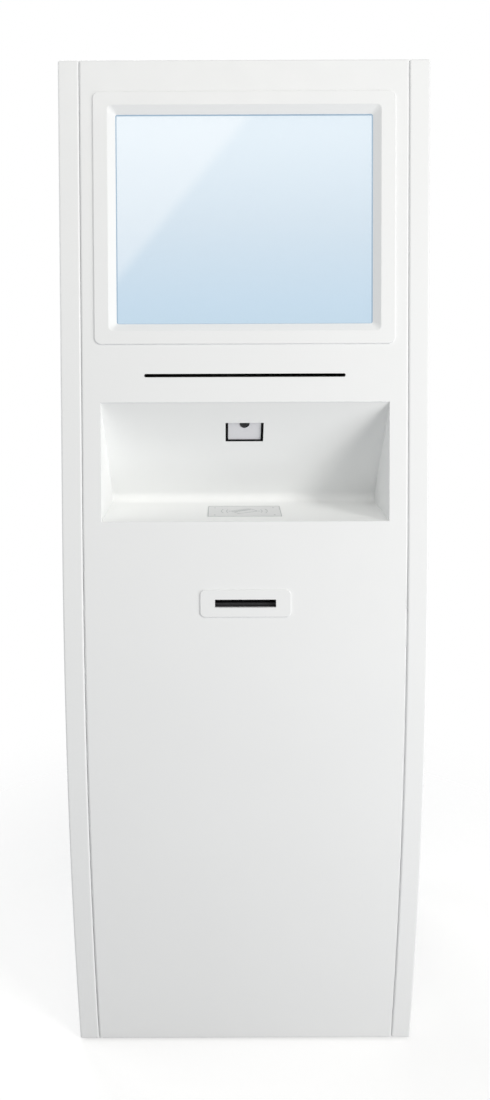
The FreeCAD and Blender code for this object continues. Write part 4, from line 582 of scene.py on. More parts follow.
class Form:
    """A mesh under construction, shaped by bmesh operators, in metres."""

    SHARP = math.radians(35)

    def __init__(self) -> None:
        """Starts an empty mesh."""
        self.shape = bmesh.new()

    def healed(self) -> "Form":
        """Merges doubled corners and turns every face outwards."""
        bmesh.ops.remove_doubles(self.shape, verts=self.shape.verts[:], dist=0.001 * MM)
        bmesh.ops.recalc_face_normals(self.shape, faces=self.shape.faces[:])
        return self

    def block(self, low: Point, high: Point, rounding: float = 0.0, segments: int = 2) -> "Form":
        """Adds a box with round edges.

        Args:
            low: Its lowest corner.
            high: Its highest corner.
            rounding: The radius of its edges.
            segments: How many faces go round an edge.

        Returns:
            The form itself.
        """
        made = bmesh.ops.create_cube(self.shape, size=1.0)["verts"]
        bmesh.ops.scale(self.shape, verts=made, vec=Vector(high) - Vector(low))
        bmesh.ops.translate(self.shape, verts=made, vec=(Vector(high) + Vector(low)) / 2)
        if rounding:
            edges = list({edge for vert in made for edge in vert.link_edges})
            bmesh.ops.bevel(self.shape, geom=edges, offset=rounding, segments=segments, affect="EDGES",
                            profile=0.5, material=-1)
        return self

    def turned(self, outline: Sequence[Span], steps: int = 40, closed: bool = False) -> "Form":
        """Adds what an outline sweeps as it turns round Z.

        Args:
            outline: The radius and height of each corner, from one end to the other.
            steps: How many faces go round.
            closed: Whether the outline's end joins its start.

        Returns:
            The form itself.
        """
        corners = [self.shape.verts.new((radius, 0.0, height)) for radius, height in outline]
        pairs = list(zip(corners, corners[1:])) + ([(corners[-1], corners[0])] if closed else [])
        lines = [self.shape.edges.new(pair) for pair in pairs]
        bmesh.ops.spin(self.shape, geom=corners + lines, cent=(0.0, 0.0, 0.0), axis=(0.0, 0.0, 1.0),
                       angle=math.tau, steps=steps, use_merge=True)
        return self.healed()

    def raised(self, faces: Sequence[bmesh.types.BMFace], thick: float) -> list[bmesh.types.BMFace]:
        """Gives flat faces on the XY plane a thickness.

        Args:
            faces: The faces.
            thick: How far they rise along Z.

        Returns:
            The upper faces.
        """
        grown = bmesh.ops.extrude_face_region(self.shape, geom=list(faces))["geom"]
        upper = [item for item in grown if isinstance(item, bmesh.types.BMVert)]
        bmesh.ops.translate(self.shape, verts=upper, vec=(0.0, 0.0, thick))
        self.healed()
        return [item for item in grown if isinstance(item, bmesh.types.BMFace)]

    def outline(self, wide: float, tall: float, corner: float) -> bmesh.types.BMFace:
        """Adds a flat face on the XY plane, a rectangle with round corners, and gives it."""
        made = bmesh.ops.create_grid(self.shape, x_segments=1, y_segments=1, size=0.5)["verts"]
        bmesh.ops.scale(self.shape, verts=made, vec=(wide, tall, 1.0))
        if corner:
            bmesh.ops.bevel(self.shape, geom=made, offset=corner, segments=5, affect="VERTICES",
                            profile=0.5, material=-1)
        self.shape.faces.ensure_lookup_table()
        return self.shape.faces[0]

    def plate(self, wide: float, tall: float, corner: float, steps: Sequence[Span]) -> "Form":
        """Adds a plate on the XY plane whose upper face is then moved in steps.

        Args:
            wide: Its size along X.
            tall: Its size along Y.
            corner: The radius of its corners.
            steps: How far each step goes inwards and up, the first one straight up.

        Returns:
            The form itself.
        """
        top = self.raised([self.outline(wide, tall, corner)], steps[0][1])[0]
        self.stepped(top, steps[1:])
        return self

    def stepped(self, top: bmesh.types.BMFace, steps: Sequence[Span]) -> None:
        """Insets a face again and again, each time inwards and up by a step."""
        for inwards, up in steps:
            bmesh.ops.inset_region(self.shape, faces=[top], thickness=inwards, depth=up, use_even_offset=True)

    def loop(self, wide: float, tall: float, corner: float, line: float, thick: float) -> "Form":
        """Adds a raised line along a rectangle with round corners.

        Args:
            wide: The rectangle's size along X.
            tall: Its size along Y.
            corner: The radius of its corners.
            line: How wide the line is.
            thick: How far it rises.

        Returns:
            The form itself.
        """
        middle = self.outline(wide, tall, corner)
        ring = bmesh.ops.inset_region(self.shape, faces=[middle], thickness=line, use_boundary=True,
                                      use_even_offset=True)["faces"]
        bmesh.ops.delete(self.shape, geom=[middle], context="FACES_ONLY")
        self.raised(ring, thick)
        return self

    def wave(self, radius: float, span: float, line: float, thick: float) -> "Form":
        """Adds a raised arc round the origin, centred on the X axis.

        Args:
            radius: Its radius.
            span: The angle that it covers.
            line: How wide it is.
            thick: How far it rises.

        Returns:
            The form itself.
        """
        start = bmesh.ops.create_grid(self.shape, x_segments=1, y_segments=1, size=0.5)["verts"]
        across = Matrix.Rotation(math.pi / 2, 4, "X") @ Matrix.Diagonal((line, thick, 1.0, 1.0))
        where = Matrix.Rotation(-span / 2, 4, "Z") @ Matrix.Translation((radius, 0.0, thick / 2)) @ across
        bmesh.ops.transform(self.shape, matrix=where, verts=start)
        bmesh.ops.spin(self.shape, geom=self.shape.verts[:] + self.shape.edges[:] + self.shape.faces[:],
                       cent=(0.0, 0.0, 0.0), axis=(0.0, 0.0, 1.0), angle=span, steps=14)
        return self.healed()

    def profile(self, corners: Sequence[Span], length: float) -> "Form":
        """Adds a rod along Z with a given section, whose corners lie in the XY plane."""
        flat = self.shape.faces.new([self.shape.verts.new((x, y, 0.0)) for x, y in corners])
        self.raised([flat], length)
        return self

    def hexed(self, inner: float, outer: float, share: float = 1.0) -> "Form":
        """Pushes what lies between two radii round Z out to a hexagon.

        Args:
            inner: The smaller radius.
            outer: The larger radius.
            share: The hexagon's size against the circle's.

        Returns:
            The form itself.
        """
        for vert in self.shape.verts:
            if inner < vert.co.xy.length < outer:
                turn = (math.atan2(vert.co.y, vert.co.x) + math.pi / 6) % (math.pi / 3) - math.pi / 6
                vert.co.xy = vert.co.xy * share / math.cos(turn)
        return self

    def add(self, other: "Form", where: Matrix = Matrix()) -> "Form":
        """Adds a copy of another form, moved and turned."""
        copy = bpy.data.meshes.new("copy")
        other.shape.to_mesh(copy)
        copy.transform(where)
        self.shape.from_mesh(copy)
        bpy.data.meshes.remove(copy)
        return self


def mm(*lengths: float) -> tuple[float, ...]:
    """Turns millimetres into metres."""
    return tuple(length * MM for length in lengths)


def at(x: float, y: float, z: float) -> Matrix:
    """Gives the move to a place in millimetres."""
    return Matrix.Translation(mm(x, y, z))


class Way(Enum):
    """The way in which a form's Z axis is turned, as a turn about X in degrees or a tilt to the side."""

    BACK = ("X", -90.0)
    LEFT = ("Y", -90.0)
    RIGHT = ("Y", 90.0)

    def turn(self) -> Matrix:
        """Gives the turn as a matrix."""
        axis, angle = self.value
        return Matrix.Rotation(math.radians(angle), 4, axis)


def screw(radius: float, height: float) -> Form:
    """Makes a domed screw head with a hexagonal socket, on the XY plane.

    Args:
        radius: The head's radius in millimetres.
        height: Its height.

    Returns:
        The head.
    """
    recess = 0.45 * radius
    outline = [(0.0, 0.0), (radius, 0.0), (radius, 0.35 * height), (0.9 * radius, 0.7 * height),
               (0.72 * radius, 0.93 * height), (0.58 * radius, height), (recess, height),
               (0.98 * recess, 0.35 * height), (0.0, 0.35 * height)]
    head = Form().turned([mm(*corner) for corner in outline], 24)
    return head.hexed(0.0, 1.01 * recess * MM, 0.9)


def nut(flats: float, bore: float, thick: float) -> Form:
    """Makes a hexagonal nut on the XY plane.

    Args:
        flats: Its width across flats in millimetres.
        bore: The radius of its bore.
        thick: Its thickness.

    Returns:
        The nut.
    """
    side = flats / 2
    outline = [(bore, 0), (0.92 * side, 0), (side, 0.7), (side, thick - 0.7), (0.92 * side, thick),
               (bore, thick)]
    ring = Form().turned([mm(*corner) for corner in outline], 24, closed=True)
    return ring.hexed(1.05 * bore * MM, flats * MM)


def socket(wide: float, tall: float, deep: float) -> Form:
    """Makes a moulded socket with a sunken middle, on the XY plane, its sizes in millimetres."""
    steps = [mm(0, deep - 0.5), mm(0.5, 0.5), mm(1.2, 0), mm(0.3, -0.3), mm(0.0, 0.8 - deep)]
    return Form().plate(*mm(wide, tall, 0), steps)


def many(form: Form, places: Sequence[Matrix]) -> Form:
    """Repeats a form at several places."""
    result = Form()
    for where in places:
        result.add(form, where)
    return result


@dataclass
class Bench:
    """Turns forms into finished pieces that ride on the kiosk's bodies."""

    materials: dict[str, bpy.types.Material]

    def fit(self, form: Form, name: str, finish: str, body: str = "cabinet") -> bpy.types.Object:
        """Makes a piece.

        Args:
            form: Its shape.
            name: Its name.
            finish: The finish that dresses it.
            body: The body that it rides on.

        Returns:
            The piece.
        """
        for edge in form.shape.edges:
            edge.smooth = len(edge.link_faces) == 2 and edge.calc_face_angle(0.0) < Form.SHARP
        for face in form.shape.faces:
            face.smooth = True
        mesh = bpy.data.meshes.new(name)
        form.shape.to_mesh(mesh)
        form.shape.free()
        mesh.materials.append(self.materials[finish])
        piece = bpy.data.objects.new(name, mesh)
        bpy.context.scene.collection.objects.link(piece)
        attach(piece, body)
        LOG.info("made %s: %d faces, on %s", name, len(mesh.polygons), body)
        return piece


def leaning(node: str, angle: float, out: float) -> Matrix:
    """Gives the place of a leaning node: its middle, moved out by so many millimetres along its own Z axis.

    Args:
        node: The node.
        angle: The turn about X that lays the XY plane along it, in degrees.
        out: How far the place lies from the node's middle.

    Returns:
        The move and the turn.
    """
    low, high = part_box(node)
    turn = Matrix.Rotation(math.radians(angle), 4, "X")
    return Matrix.Translation((low + high) / 2) @ turn @ at(0, 0, out)


@dataclass
class CardPad:
    """The guide moulded on the card reader's pad: a rim, a tilted card, waves beside it and corner dots."""

    line: float = 0.9
    rise: float = 0.25
    rim_gap: float = 1.0
    rim_corner: float = 1.5
    card: Span = (36.0, 24.0)
    card_corner: float = 2.5
    card_turn: float = 32.0
    stripe: Point = (29.0, 3.4, 0.6)
    stripe_up: float = 5.0
    waves: tuple[float, ...] = (28.0, 36.0)
    wave_span: float = 46.0
    dot_radius: float = 1.6
    dot_across: float = 46.5
    dot_along: Span = (-28.5, 26.0)
    inner_dot: float = 23.0

    def build(self, bench: Bench) -> None:
        """Makes the marks."""
        low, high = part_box("card_reader_pad")
        middle = Matrix.Translation(((low.x + high.x) / 2, (low.y + high.y) / 2, high.z))
        tilted = middle @ Matrix.Rotation(math.radians(self.card_turn), 4, "Z")
        size = (high - low) / MM
        rim = (size.x - self.rim_gap, size.y - self.rim_gap, self.rim_corner)
        marks = Form().add(Form().loop(*mm(*rim, self.line, self.rise)), middle)
        marks.add(Form().loop(*mm(*self.card, self.card_corner, self.line, self.rise)), tilted)
        marks.add(Form().plate(*mm(*self.stripe), [mm(0, self.rise)]), tilted @ at(0, self.stripe_up, 0))
        for radius in self.waves:
            wave = Form().wave(radius * MM, math.radians(self.wave_span), self.line * MM, self.rise * MM)
            for turn in (0.0, math.pi):
                marks.add(wave, middle @ Matrix.Rotation(turn, 4, "Z"))
        outline = [(0, 0), (self.dot_radius, 0), (self.dot_radius * 0.8, self.rise), (0, self.rise)]
        dot = Form().turned([mm(*corner) for corner in outline], 20)
        for across in (-self.dot_across, self.dot_across):
            for along in self.dot_along:
                marks.add(dot, middle @ at(across, along, 0))
        for across in (-self.inner_dot, self.inner_dot):
            marks.add(dot, middle @ at(across, 0, 0))
        bench.fit(marks, "card_pad_marks", "pad_marks")


@dataclass
class Scanner:
    """The ring that holds the scanner's lens."""

    turn: float = 125.9
    lens_radius: float = 7.4
    ring: float = 1.3

    def build(self, bench: Bench) -> None:
        """Makes the ring."""
        face = leaning("scanner_lens", self.turn, -0.5)
        inner, outer = self.lens_radius + 0.1, self.lens_radius + self.ring
        outline = [(inner, 0.0), (outer, 0.0), (outer, 0.3), (outer - 0.3, 0.6), (inner + 0.2, 0.6),
                   (inner, 0.4)]
        ring = Form().turned([mm(*corner) for corner in outline], 48, closed=True)
        bench.fit(Form().add(ring, face), "lens_ring", "scanner_grey")


@dataclass
class Cabinet:
    """Fasteners of the rear frame and hinges, door stiffeners, levelling nuts and the cable grommet."""

    frame_screw: Span = (4.2, 2.0)
    frame_inset: float = 14.4
    frame_rows: tuple[float, ...] = (60.0, 480.0, 1040.0, 1490.0)
    hinge_screw: Span = (3.6, 1.1)
    leaf_thickness: float = 1.8
    hinge_half: float = 35.0
    hinge_pitch: float = 22.0
    leaf_places: Span = (199.5, 228.5)
    rib_across: float = 115.0
    rib_ends: Span = (170.0, 1373.0)
    rib: tuple[Span, ...] = ((-22, -1.2), (-12, -1.2), (-11, -8), (11, -8), (12, -1.2), (22, -1.2),
                             (22, 0), (10.8, 0), (9.8, -6.8), (-9.8, -6.8), (-10.8, 0), (-22, 0))
    skin: float = 2.0
    foot_places: tuple[Span, ...] = ((-190, -165), (190, -165), (-190, 180), (190, 180))
    nut_size: Point = (17.0, 5.1, 7.5)
    nut_heights: Span = (12.4, 22.1)
    entry: Span = (0.0, 60.0)
    entry_radius: float = 30.0

    def build(self, bench: Bench) -> None:
        """Makes all the pieces."""
        low, high = (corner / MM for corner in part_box("rear_frame"))
        sides = (low.x + self.frame_inset, high.x - self.frame_inset)
        places = [at(x, high.y, z) @ Way.BACK.turn() for x in sides for z in self.frame_rows]
        bench.fit(many(screw(*self.frame_screw), places), "rear_frame_screws", "steel")
        hinges = [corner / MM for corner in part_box("hinge_frame_leaves")]
        lowest, highest = hinges[0].z + self.hinge_half, hinges[1].z - self.hinge_half
        centres = (lowest, (hinges[0].z + hinges[1].z) / 2, highest)
        for across, name, body in zip(self.leaf_places, ("hinge_door_screws", "hinge_frame_screws"),
                                      ("door", "cabinet")):
            places = [at(across, high.y + self.leaf_thickness, centre + step) @ Way.BACK.turn()
                      for centre in centres for step in (-self.hinge_pitch, self.hinge_pitch)]
            bench.fit(many(screw(*self.hinge_screw), places), name, "steel", body)
        rib = Form().profile([mm(*corner) for corner in self.rib], (self.rib_ends[1] - self.rib_ends[0]) * MM)
        places = [at(x, high.y - self.skin, self.rib_ends[0]) for x in (-self.rib_across, self.rib_across)]
        bench.fit(many(rib, places), "door_stiffeners", "cabinet_white", "door")
        places = [at(x, y, z) for x, y in self.foot_places for z in self.nut_heights]
        bench.fit(many(nut(*self.nut_size), places), "levelling_nuts", "steel")
        self.make_grommet(bench)

    def make_grommet(self, bench: Bench) -> None:
        """Makes the rubber ring round the cable entry."""
        edge, tray = self.entry_radius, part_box("base_tray")[0].z / MM
        outline = [(edge - 3, -1.4), (edge + 2.5, -1.4), (edge + 3, -0.8), (edge + 3, 0), (edge, 0),
                   (edge, self.skin), (edge + 3, self.skin), (edge + 3, self.skin + 0.8),
                   (edge + 2.5, self.skin + 1.4), (edge - 3, self.skin + 1.4), (edge - 3.6, self.skin + 0.6),
                   (edge - 3.6, -0.6)]
        ring = Form().turned([mm(*corner) for corner in outline], 64, closed=True)
        bench.fit(Form().add(ring, at(*self.entry, tray)), "cable_grommet", "rubber")


@dataclass
class DisplayRear:
    """What is on the back of the display: louvres, mounting screws, a board cover and its sockets."""

    turn: float = 77.8 - 180.0
    half_deep: float = 23.0
    louvre: Point = (42.0, 3.2, 1.6)
    louvre_columns: tuple[float, ...] = (-140.0, -84.0, 84.0, 140.0)
    louvre_rows: int = 9
    louvre_pitch: float = 8.0
    louvre_top: float = -140.0
    mount_half: float = 50.0
    mount_drop: float = 20.0
    cover: Point = (190.0, 84.0, 15.0)
    cover_down: float = 98.0
    cover_flange: float = 7.0
    cover_skin: float = 1.2
    cover_screw_out: float = 3.4
    cover_screw_in: float = 8.0
    sockets: tuple[tuple[float, float, float], ...] = ((-60, 24, 9), (-24, 18, 8), (12, 30, 10), (58, 22, 9))

    def build(self, bench: Bench) -> None:
        """Makes all the pieces."""
        rear = leaning("display_housing", self.turn, self.half_deep)
        long, wide, high = mm(*self.louvre)
        louvre = Form().block((-long / 2, -wide / 2, -high), (long / 2, wide / 2, high), 0.48 * wide, 3)
        places = [rear @ at(x, self.louvre_top + row * self.louvre_pitch, 0)
                  for x in self.louvre_columns for row in range(self.louvre_rows)]
        bench.fit(many(louvre, places), "display_louvres", "inner_sheet")
        places = [rear @ at(x, y, 0) for x in (-self.mount_half, self.mount_half)
                  for y in (-self.mount_half - self.mount_drop, self.mount_half - self.mount_drop)]
        bench.fit(many(screw(3.8, 2.2), places), "display_mount_screws", "steel")
        wide, tall, deep = self.cover
        flange = (wide + 2 * self.cover_flange, tall + 2 * self.cover_flange, 5)
        cover = Form().plate(*mm(*flange), [mm(0, self.cover_skin)])
        cover.add(Form().plate(*mm(wide, tall, 4), [mm(0, deep - 1), mm(0.4, 0.6), mm(0.6, 0.4)]))
        bench.fit(Form().add(cover, rear @ at(0, self.cover_down, 0)), "display_board_cover", "inner_sheet")
        across, along = wide / 2 + self.cover_screw_out, tall / 2 - self.cover_screw_in
        corners = [rear @ at(x, self.cover_down + y, self.cover_skin) for x in (-across, across)
                   for y in (-along, along)]
        bench.fit(many(screw(2.6, 1.6), corners), "board_cover_screws", "steel")
        edge = rear @ at(0, self.cover_down + tall / 2 - 1.4, deep / 2)
        below = edge @ Matrix.Rotation(-math.pi / 2, 4, "X")
        row = Form()
        for across, long, thick in self.sockets:
            row.add(socket(long, thick, 3.0), below @ at(across, 0, 0))
        bench.fit(row, "display_sockets", "black_plastic")


@dataclass
class DocumentPrinter:
    """Details of the document printer: side and rear grilles, sockets, and the grip on its cover."""

    grille_bar: Point = (84.0, 2.4, 1.2)
    grille_rows: int = 8
    grille_pitch: float = 7.0
    grille_middle: Point = (-112.0, 0.0, 1020.0)
    side_middle: Span = (110.0, 960.0)
    sockets: tuple[tuple[float, float, float, float], ...] = (
        (128.0, 940.0, 26.0, 20.0),
        (92.0, 938.0, 13.0, 11.0),
        (70.0, 938.0, 15.0, 11.0),
    )
    socket_deep: float = 2.5
    grip: Point = (64.0, 7.0, 5.0)
    grip_drop: float = 4.0
    cover_rib: Point = (250.0, 2.0, 0.8)
    cover_rib_count: int = 5
    cover_rib_first: float = 30.0
    cover_rib_pitch: float = 14.0

    def build(self, bench: Bench) -> None:
        """Makes all the pieces."""
        low, high = (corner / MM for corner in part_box("document_printer_body"))
        long, wide, proud = mm(*self.grille_bar)
        bar = Form().block((-long / 2, -wide / 2, -proud), (long / 2, wide / 2, proud), 0.45 * wide, 3)
        steps = [(row - (self.grille_rows - 1) / 2) * self.grille_pitch for row in range(self.grille_rows)]
        bars = Form()
        across, _, middle = self.grille_middle
        for step in steps:
            bars.add(bar, at(across, high.y, middle + step) @ Way.BACK.turn())
            for side in (low.x, high.x):
                bars.add(bar, at(side, self.side_middle[0], self.side_middle[1] + step)
                         @ Matrix.Rotation(math.pi / 2, 4, "Z") @ Way.BACK.turn())
        bench.fit(bars, "document_printer_grilles", "printer_plastic")
        row = Form()
        for across, height, *size in self.sockets:
            row.add(socket(*size, self.socket_deep), at(across, high.y, height) @ Way.BACK.turn())
        bench.fit(row, "document_printer_sockets", "black_plastic")
        low, high = (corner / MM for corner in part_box("document_printer_cover"))
        wide, deep, tall = self.grip
        top = high.z - self.grip_drop
        grip = Form().block(mm(-wide / 2, high.y - 0.5, top - tall), mm(wide / 2, high.y + deep, top),
                            1.6 * MM, 3)
        long, thin, proud = self.cover_rib
        for index in range(self.cover_rib_count):
            along = high.y - self.cover_rib_first - self.cover_rib_pitch * index
            grip.block(mm(-long / 2, along - thin / 2, high.z - proud),
                       mm(long / 2, along + thin / 2, high.z + proud), 0.7 * MM, 2)
        bench.fit(grip, "document_cover_grip", "printer_plastic", "printer_cover")


@dataclass
class TicketPrinter:
    """The control board beside the ticket printer with all that it carries, and the motor's screws."""

    board: tuple[Span, Span] = ((-164.0, -100.0), (700.0, 768.0))
    board_gap: float = 4.0
    board_thick: float = 1.6
    hole_inset: float = 4.0
    chips: tuple[Point, ...] = ((-142.0, 738.0, 14.0), (-118.0, 744.0, 8.0), (-118.0, 726.0, 10.0),
                                (-150.0, 712.0, 6.0))
    plugs: tuple[Point, ...] = ((-128.0, 762.0, 20.0), (-152.0, 762.0, 12.0), (-124.0, 705.5, 26.0))
    cans: tuple[Span, ...] = ((-106.0, 712.0), (-106.0, 752.0))
    motor_plate: float = 3.0
    motor_screws: tuple[Span, ...] = ((-139.0, 717.5), (-110.8, 744.8))

    def build(self, bench: Bench) -> None:
        """Makes all the pieces."""
        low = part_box("ticket_printer_frame")[0] / MM
        face = low.x - self.board_gap
        (front, rear), (bottom, top) = self.board
        steps = [mm(0, self.board_thick - 0.2), mm(0.2, 0.2)]
        middle = at(face, (front + rear) / 2, (bottom + top) / 2) @ Way.LEFT.turn()
        board = Form().add(Form().plate(*mm(top - bottom, rear - front, 2.0), steps), middle)
        bench.fit(board, "printer_board", "board")
        post = Form().turned([mm(0, -0.2), mm(2.4, -0.2), mm(2.4, self.board_gap), mm(0, self.board_gap)], 6)
        holes = [(y, z) for y in (front + self.hole_inset, rear - self.hole_inset)
                 for z in (bottom + self.hole_inset, top - self.hole_inset)]
        places = [at(low.x, y, z) @ Way.LEFT.turn() for y, z in holes]
        bench.fit(many(post, places), "board_standoffs", "brass")
        skin = face - self.board_thick
        places = [at(skin, y, z) @ Way.LEFT.turn() for y, z in holes]
        bench.fit(many(screw(2.4, 1.5), places), "board_screws", "steel")
        chips, plugs, cans = Form(), Form(), Form()
        for along, height, size in self.chips:
            chip = Form().plate(*mm(size, size, 0.3), [mm(0, 1.2), mm(0.3, 0.3)])
            chips.add(chip, at(skin, along, height) @ Way.LEFT.turn())
        for along, height, size in self.plugs:
            plugs.add(socket(5.0, size, 5.0), at(skin, along, height) @ Way.LEFT.turn())
        can = Form().turned([mm(0, 0), mm(3.6, 0), mm(3.6, 0.9), mm(3.3, 1.3), mm(3.6, 1.7), mm(3.6, 8.4),
                             mm(3.1, 9), mm(2.6, 9), mm(2.4, 8.8), mm(0, 8.8)], 28)
        for along, height in self.cans:
            cans.add(can, at(skin, along, height) @ Way.LEFT.turn())
        bench.fit(chips, "board_chips", "black_plastic")
        bench.fit(plugs, "board_plugs", "gear_plastic")
        bench.fit(cans, "board_capacitors", "supply_steel")
        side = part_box("ticket_cutter_frame")[1].x / MM - self.motor_plate
        places = [at(side, along, height) @ Way.RIGHT.turn() for along, height in self.motor_screws]
        bench.fit(many(screw(2.6, 1.5), places), "motor_screws", "steel")


@dataclass
class Electronics:
    """The computer's port shells, lamps and cover screws, and the power supply's terminals."""

    port_first: float = 26.0
    port_pitch: float = 26.0
    port_count: int = 5
    port_size: Span = (16.0, 14.0)
    lamps: tuple[float, ...] = (-2.0, 6.0)
    cover_inset: float = 8.0
    terminals: int = 7
    terminal_pitch: float = 12.0
    terminal_tall: float = 7.0
    barrier_half: float = 0.8
    barrier_tall: float = 14.0
    step: Span = (12.0, 20.0)

    def build(self, bench: Bench) -> None:
        """Makes all the pieces."""
        low, high = (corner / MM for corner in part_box("computer_case"))
        middle = (low.z + high.z) / 2
        wide, tall = self.port_size
        shell = Form().loop(*mm(wide - 0.3, tall - 0.3, 1.0, 0.6, 9))
        tongue = Form().block(mm(-wide / 2 + 2.5, -2.2, 0), mm(wide / 2 - 2.5, 2.2, 7.5), 0.4 * MM)
        places = [at(low.x + self.port_first + self.port_pitch * index + wide / 2, high.y - 8.6, middle)
                  @ Way.BACK.turn() for index in range(self.port_count)]
        bench.fit(many(shell, places), "port_shells", "chrome")
        bench.fit(many(tongue, places), "port_tongues", "grey_plastic")
        outline = [(0, 0), (1.6, 0), (1.6, 0.5), (1.2, 1.0), (0.6, 1.25), (0, 1.3)]
        lamp = Form().turned([mm(*corner) for corner in outline], 20)
        places = [at(x, high.y, middle) @ Way.BACK.turn() for x in self.lamps]
        bench.fit(many(lamp, places), "status_lamps", "button_plastic")
        low, high = (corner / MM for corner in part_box("computer_cover"))
        places = [at(x, y, high.z) for x in (low.x + self.cover_inset, high.x - self.cover_inset)
                  for y in (low.y + self.cover_inset, high.y - self.cover_inset)]
        bench.fit(many(screw(2.8, 1.6), places), "computer_cover_screws", "steel")
        self.make_terminals(bench)

    def make_terminals(self, bench: Bench) -> None:
        """Makes the row of screw terminals on the step of the power supply."""
        low, high = (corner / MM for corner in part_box("power_supply"))
        deep, drop = self.step
        floor, middle = high.z - drop, (low.x + high.x) / 2
        half = self.terminals * self.terminal_pitch / 2
        front, rear = high.y - deep + 0.2, high.y - 0.6
        foot, thick = floor + self.terminal_tall - 1, self.barrier_half
        block = Form().block(mm(middle - half, front, floor), mm(middle + half, rear, foot + 1), 0.5 * MM)
        edges = [middle - half + self.terminal_pitch * index for index in range(self.terminals + 1)]
        for edge in edges:
            block.block(mm(edge - thick, front, foot), mm(edge + thick, rear, floor + self.barrier_tall),
                        0.3 * MM)
        block.block(mm(edges[0] - thick, front, foot),
                    mm(edges[-1] + thick, front + 2 * thick, floor + self.barrier_tall + 1), 0.4 * MM)
        screws = Form()
        for start, end in zip(edges, edges[1:]):
            screws.add(screw(3.0, 1.8), at((start + end) / 2, high.y - deep / 2 + 0.4, foot + 1))
        bench.fit(block, "supply_terminals", "black_plastic")
        bench.fit(screws, "terminal_screws", "brass")


@dataclass(frozen=True)
class Lamp:
    """A soft square lamp."""

    name: str
    place: Point
    size: float
    power: float
    tint: Colour = (1.0, 1.0, 1.0)

    def hang(self, towards: Vector) -> None:
        """Hangs the lamp so that it points at a place."""
        data = bpy.data.lights.new(self.name, "AREA")
        data.color = self.tint
        data.shape = "SQUARE"
        data.size = self.size
        data.energy = self.power
        lamp = bpy.data.objects.new(self.name, data)
        lamp.location = self.place
        lamp.rotation_euler = (towards - Vector(self.place)).to_track_quat("-Z", "Y").to_euler()
        bpy.context.scene.collection.objects.link(lamp)


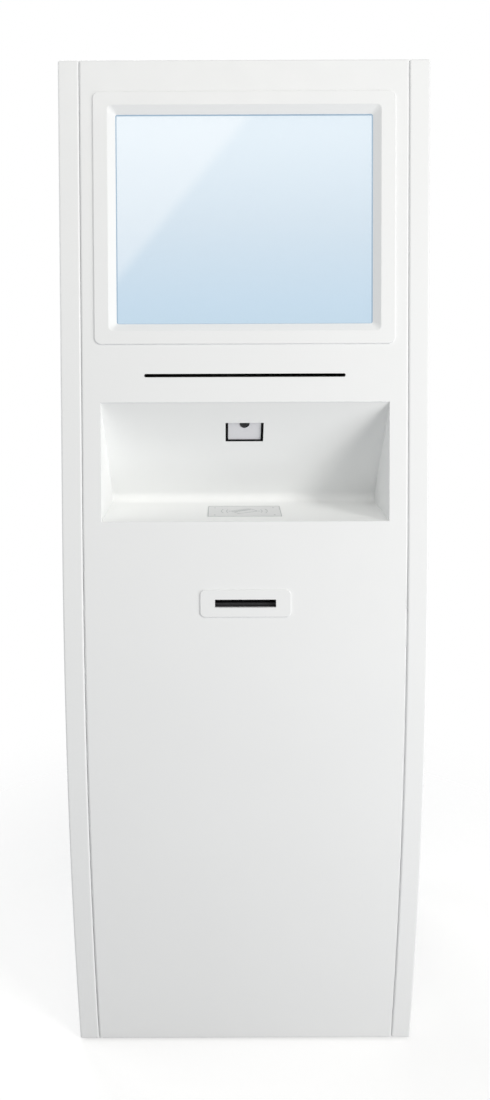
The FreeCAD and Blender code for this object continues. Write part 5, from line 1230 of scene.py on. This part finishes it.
@dataclass
class Studio:
    """The floor, the lamps, the surroundings and the camera."""

    floor_radius: float = 6.0
    fade_start: float = 0.45
    fade_end: float = 1.15
    floor_glow: float = 0.5
    floor_tone: Colour = (0.5, 0.5, 0.5)
    shadow_tone: Colour = (0.55, 0.55, 0.55)
    white: Colour = (1.0, 1.0, 1.0)
    centre: Vector = field(default_factory=lambda: Vector((0.0, -0.05, 0.78)))
    lamps: tuple[Lamp, ...] = (
        Lamp("key", (2.65, -2.95, 2.3), 1.1, 62.0, (1.0, 0.98, 0.945)),
        Lamp("fill", (-2.5, -1.7, 1.0), 2.2, 3.0),
        Lamp("low", (1.7, -1.3, 0.4), 0.9, 12.0),
        Lamp("over", (0.0, -2.2, 3.4), 1.8, 20.0, (1.0, 0.97, 0.89)),
        Lamp("rear", (-1.4, 3.4, 3.3), 2.0, 54.0),
        Lamp("side", (-3.4, 0.9, 2.2), 2.0, 30.0),
    )
    ambient: float = 0.41
    ambient_tint: Colour = (0.965, 0.985, 1.0)
    frame_height: int = 1100
    focal_length: float = 952.8
    sensor: float = 36.0
    shift: float = 0.0169
    camera_place: Point = (-0.0285, -1.579, 1.183)
    camera_down: float = 14.16
    camera_roll: float = -0.2

    def build(self) -> None:
        """Sets up everything that isn't the kiosk."""
        self.make_floor()
        self.make_world()
        for lamp in self.lamps:
            lamp.hang(self.centre)
        self.make_camera()
        bpy.context.scene.view_settings.view_transform = "Standard"

    def make_floor(self) -> None:
        """Makes a round pale floor that fades into the background away from the kiosk."""
        mesh = bpy.data.meshes.new("floor")
        shape = bmesh.new()
        bmesh.ops.create_circle(shape, cap_ends=True, radius=self.floor_radius, segments=96)
        shape.to_mesh(mesh)
        shape.free()
        floor = bpy.data.objects.new("floor", mesh)
        bpy.context.scene.collection.objects.link(floor)
        recipe = Recipe("studio_floor")
        across, along, _ = recipe.axes()
        distance = recipe.maths("SQRT", across * across + along * along)
        bouncing = recipe.node("ShaderNodeBsdfDiffuse", {"Color": self.floor_tone})
        shadowed = recipe.node("ShaderNodeBsdfDiffuse", {"Color": self.shadow_tone})
        glow = recipe.node("ShaderNodeEmission", {"Color": self.white, "Strength": self.floor_glow})
        shown = recipe.node("ShaderNodeAddShader", {0: shadowed, 1: glow})
        pale = recipe.node("ShaderNodeMixShader", {0: recipe.seen(), 1: bouncing, 2: shown})
        clear = recipe.node("ShaderNodeBsdfTransparent", {})
        fade = distance.ramp(self.fade_start, self.fade_end)
        recipe.close(recipe.node("ShaderNodeMixShader", {0: fade, 1: pale, 2: clear}))
        mesh.materials.append(recipe.material)

    def make_world(self) -> None:
        """Lights the surroundings softly and shows them white to the camera and in reflections."""
        world = bpy.data.worlds.new("studio")
        bpy.context.scene.world = world
        world.use_nodes = True
        recipe = Recipe.inside(world.node_tree)
        around = recipe.node("ShaderNodeBackground", {"Color": self.ambient_tint, "Strength": self.ambient})
        backdrop = recipe.node("ShaderNodeBackground", {"Color": self.white, "Strength": 1.0})
        mixed = recipe.node("ShaderNodeMixShader", {0: recipe.seen(), 1: around, 2: backdrop})
        recipe.node("ShaderNodeOutputWorld", {"Surface": mixed})

    def make_camera(self) -> None:
        """Puts the camera where the photograph was taken from, its focal length given in pixels."""
        data = bpy.data.cameras.new("camera")
        data.sensor_fit = "VERTICAL"
        data.sensor_width = self.sensor
        data.sensor_height = self.sensor
        data.lens = self.sensor * self.focal_length / self.frame_height
        data.shift_x = self.shift
        camera = bpy.data.objects.new("camera", data)
        camera.location = self.camera_place
        tilt, roll = math.radians(90 - self.camera_down), math.radians(self.camera_roll)
        camera.rotation_euler = (Matrix.Rotation(tilt, 4, "X") @ Matrix.Rotation(roll, 4, "Z")).to_euler()
        bpy.context.scene.collection.objects.link(camera)
        bpy.context.scene.camera = camera


def main() -> None:
    """Builds the looks in order."""
    logging.basicConfig(level=logging.INFO, format="%(message)s")
    materials = finishes()
    dress_nodes(materials)
    bench = Bench(materials)
    for assembly in (CardPad(), Scanner(), Cabinet(), DisplayRear(), DocumentPrinter(), TicketPrinter(),
                     Electronics()):
        assembly.build(bench)
    Studio().build()


if __name__ == "__main__":
    main()
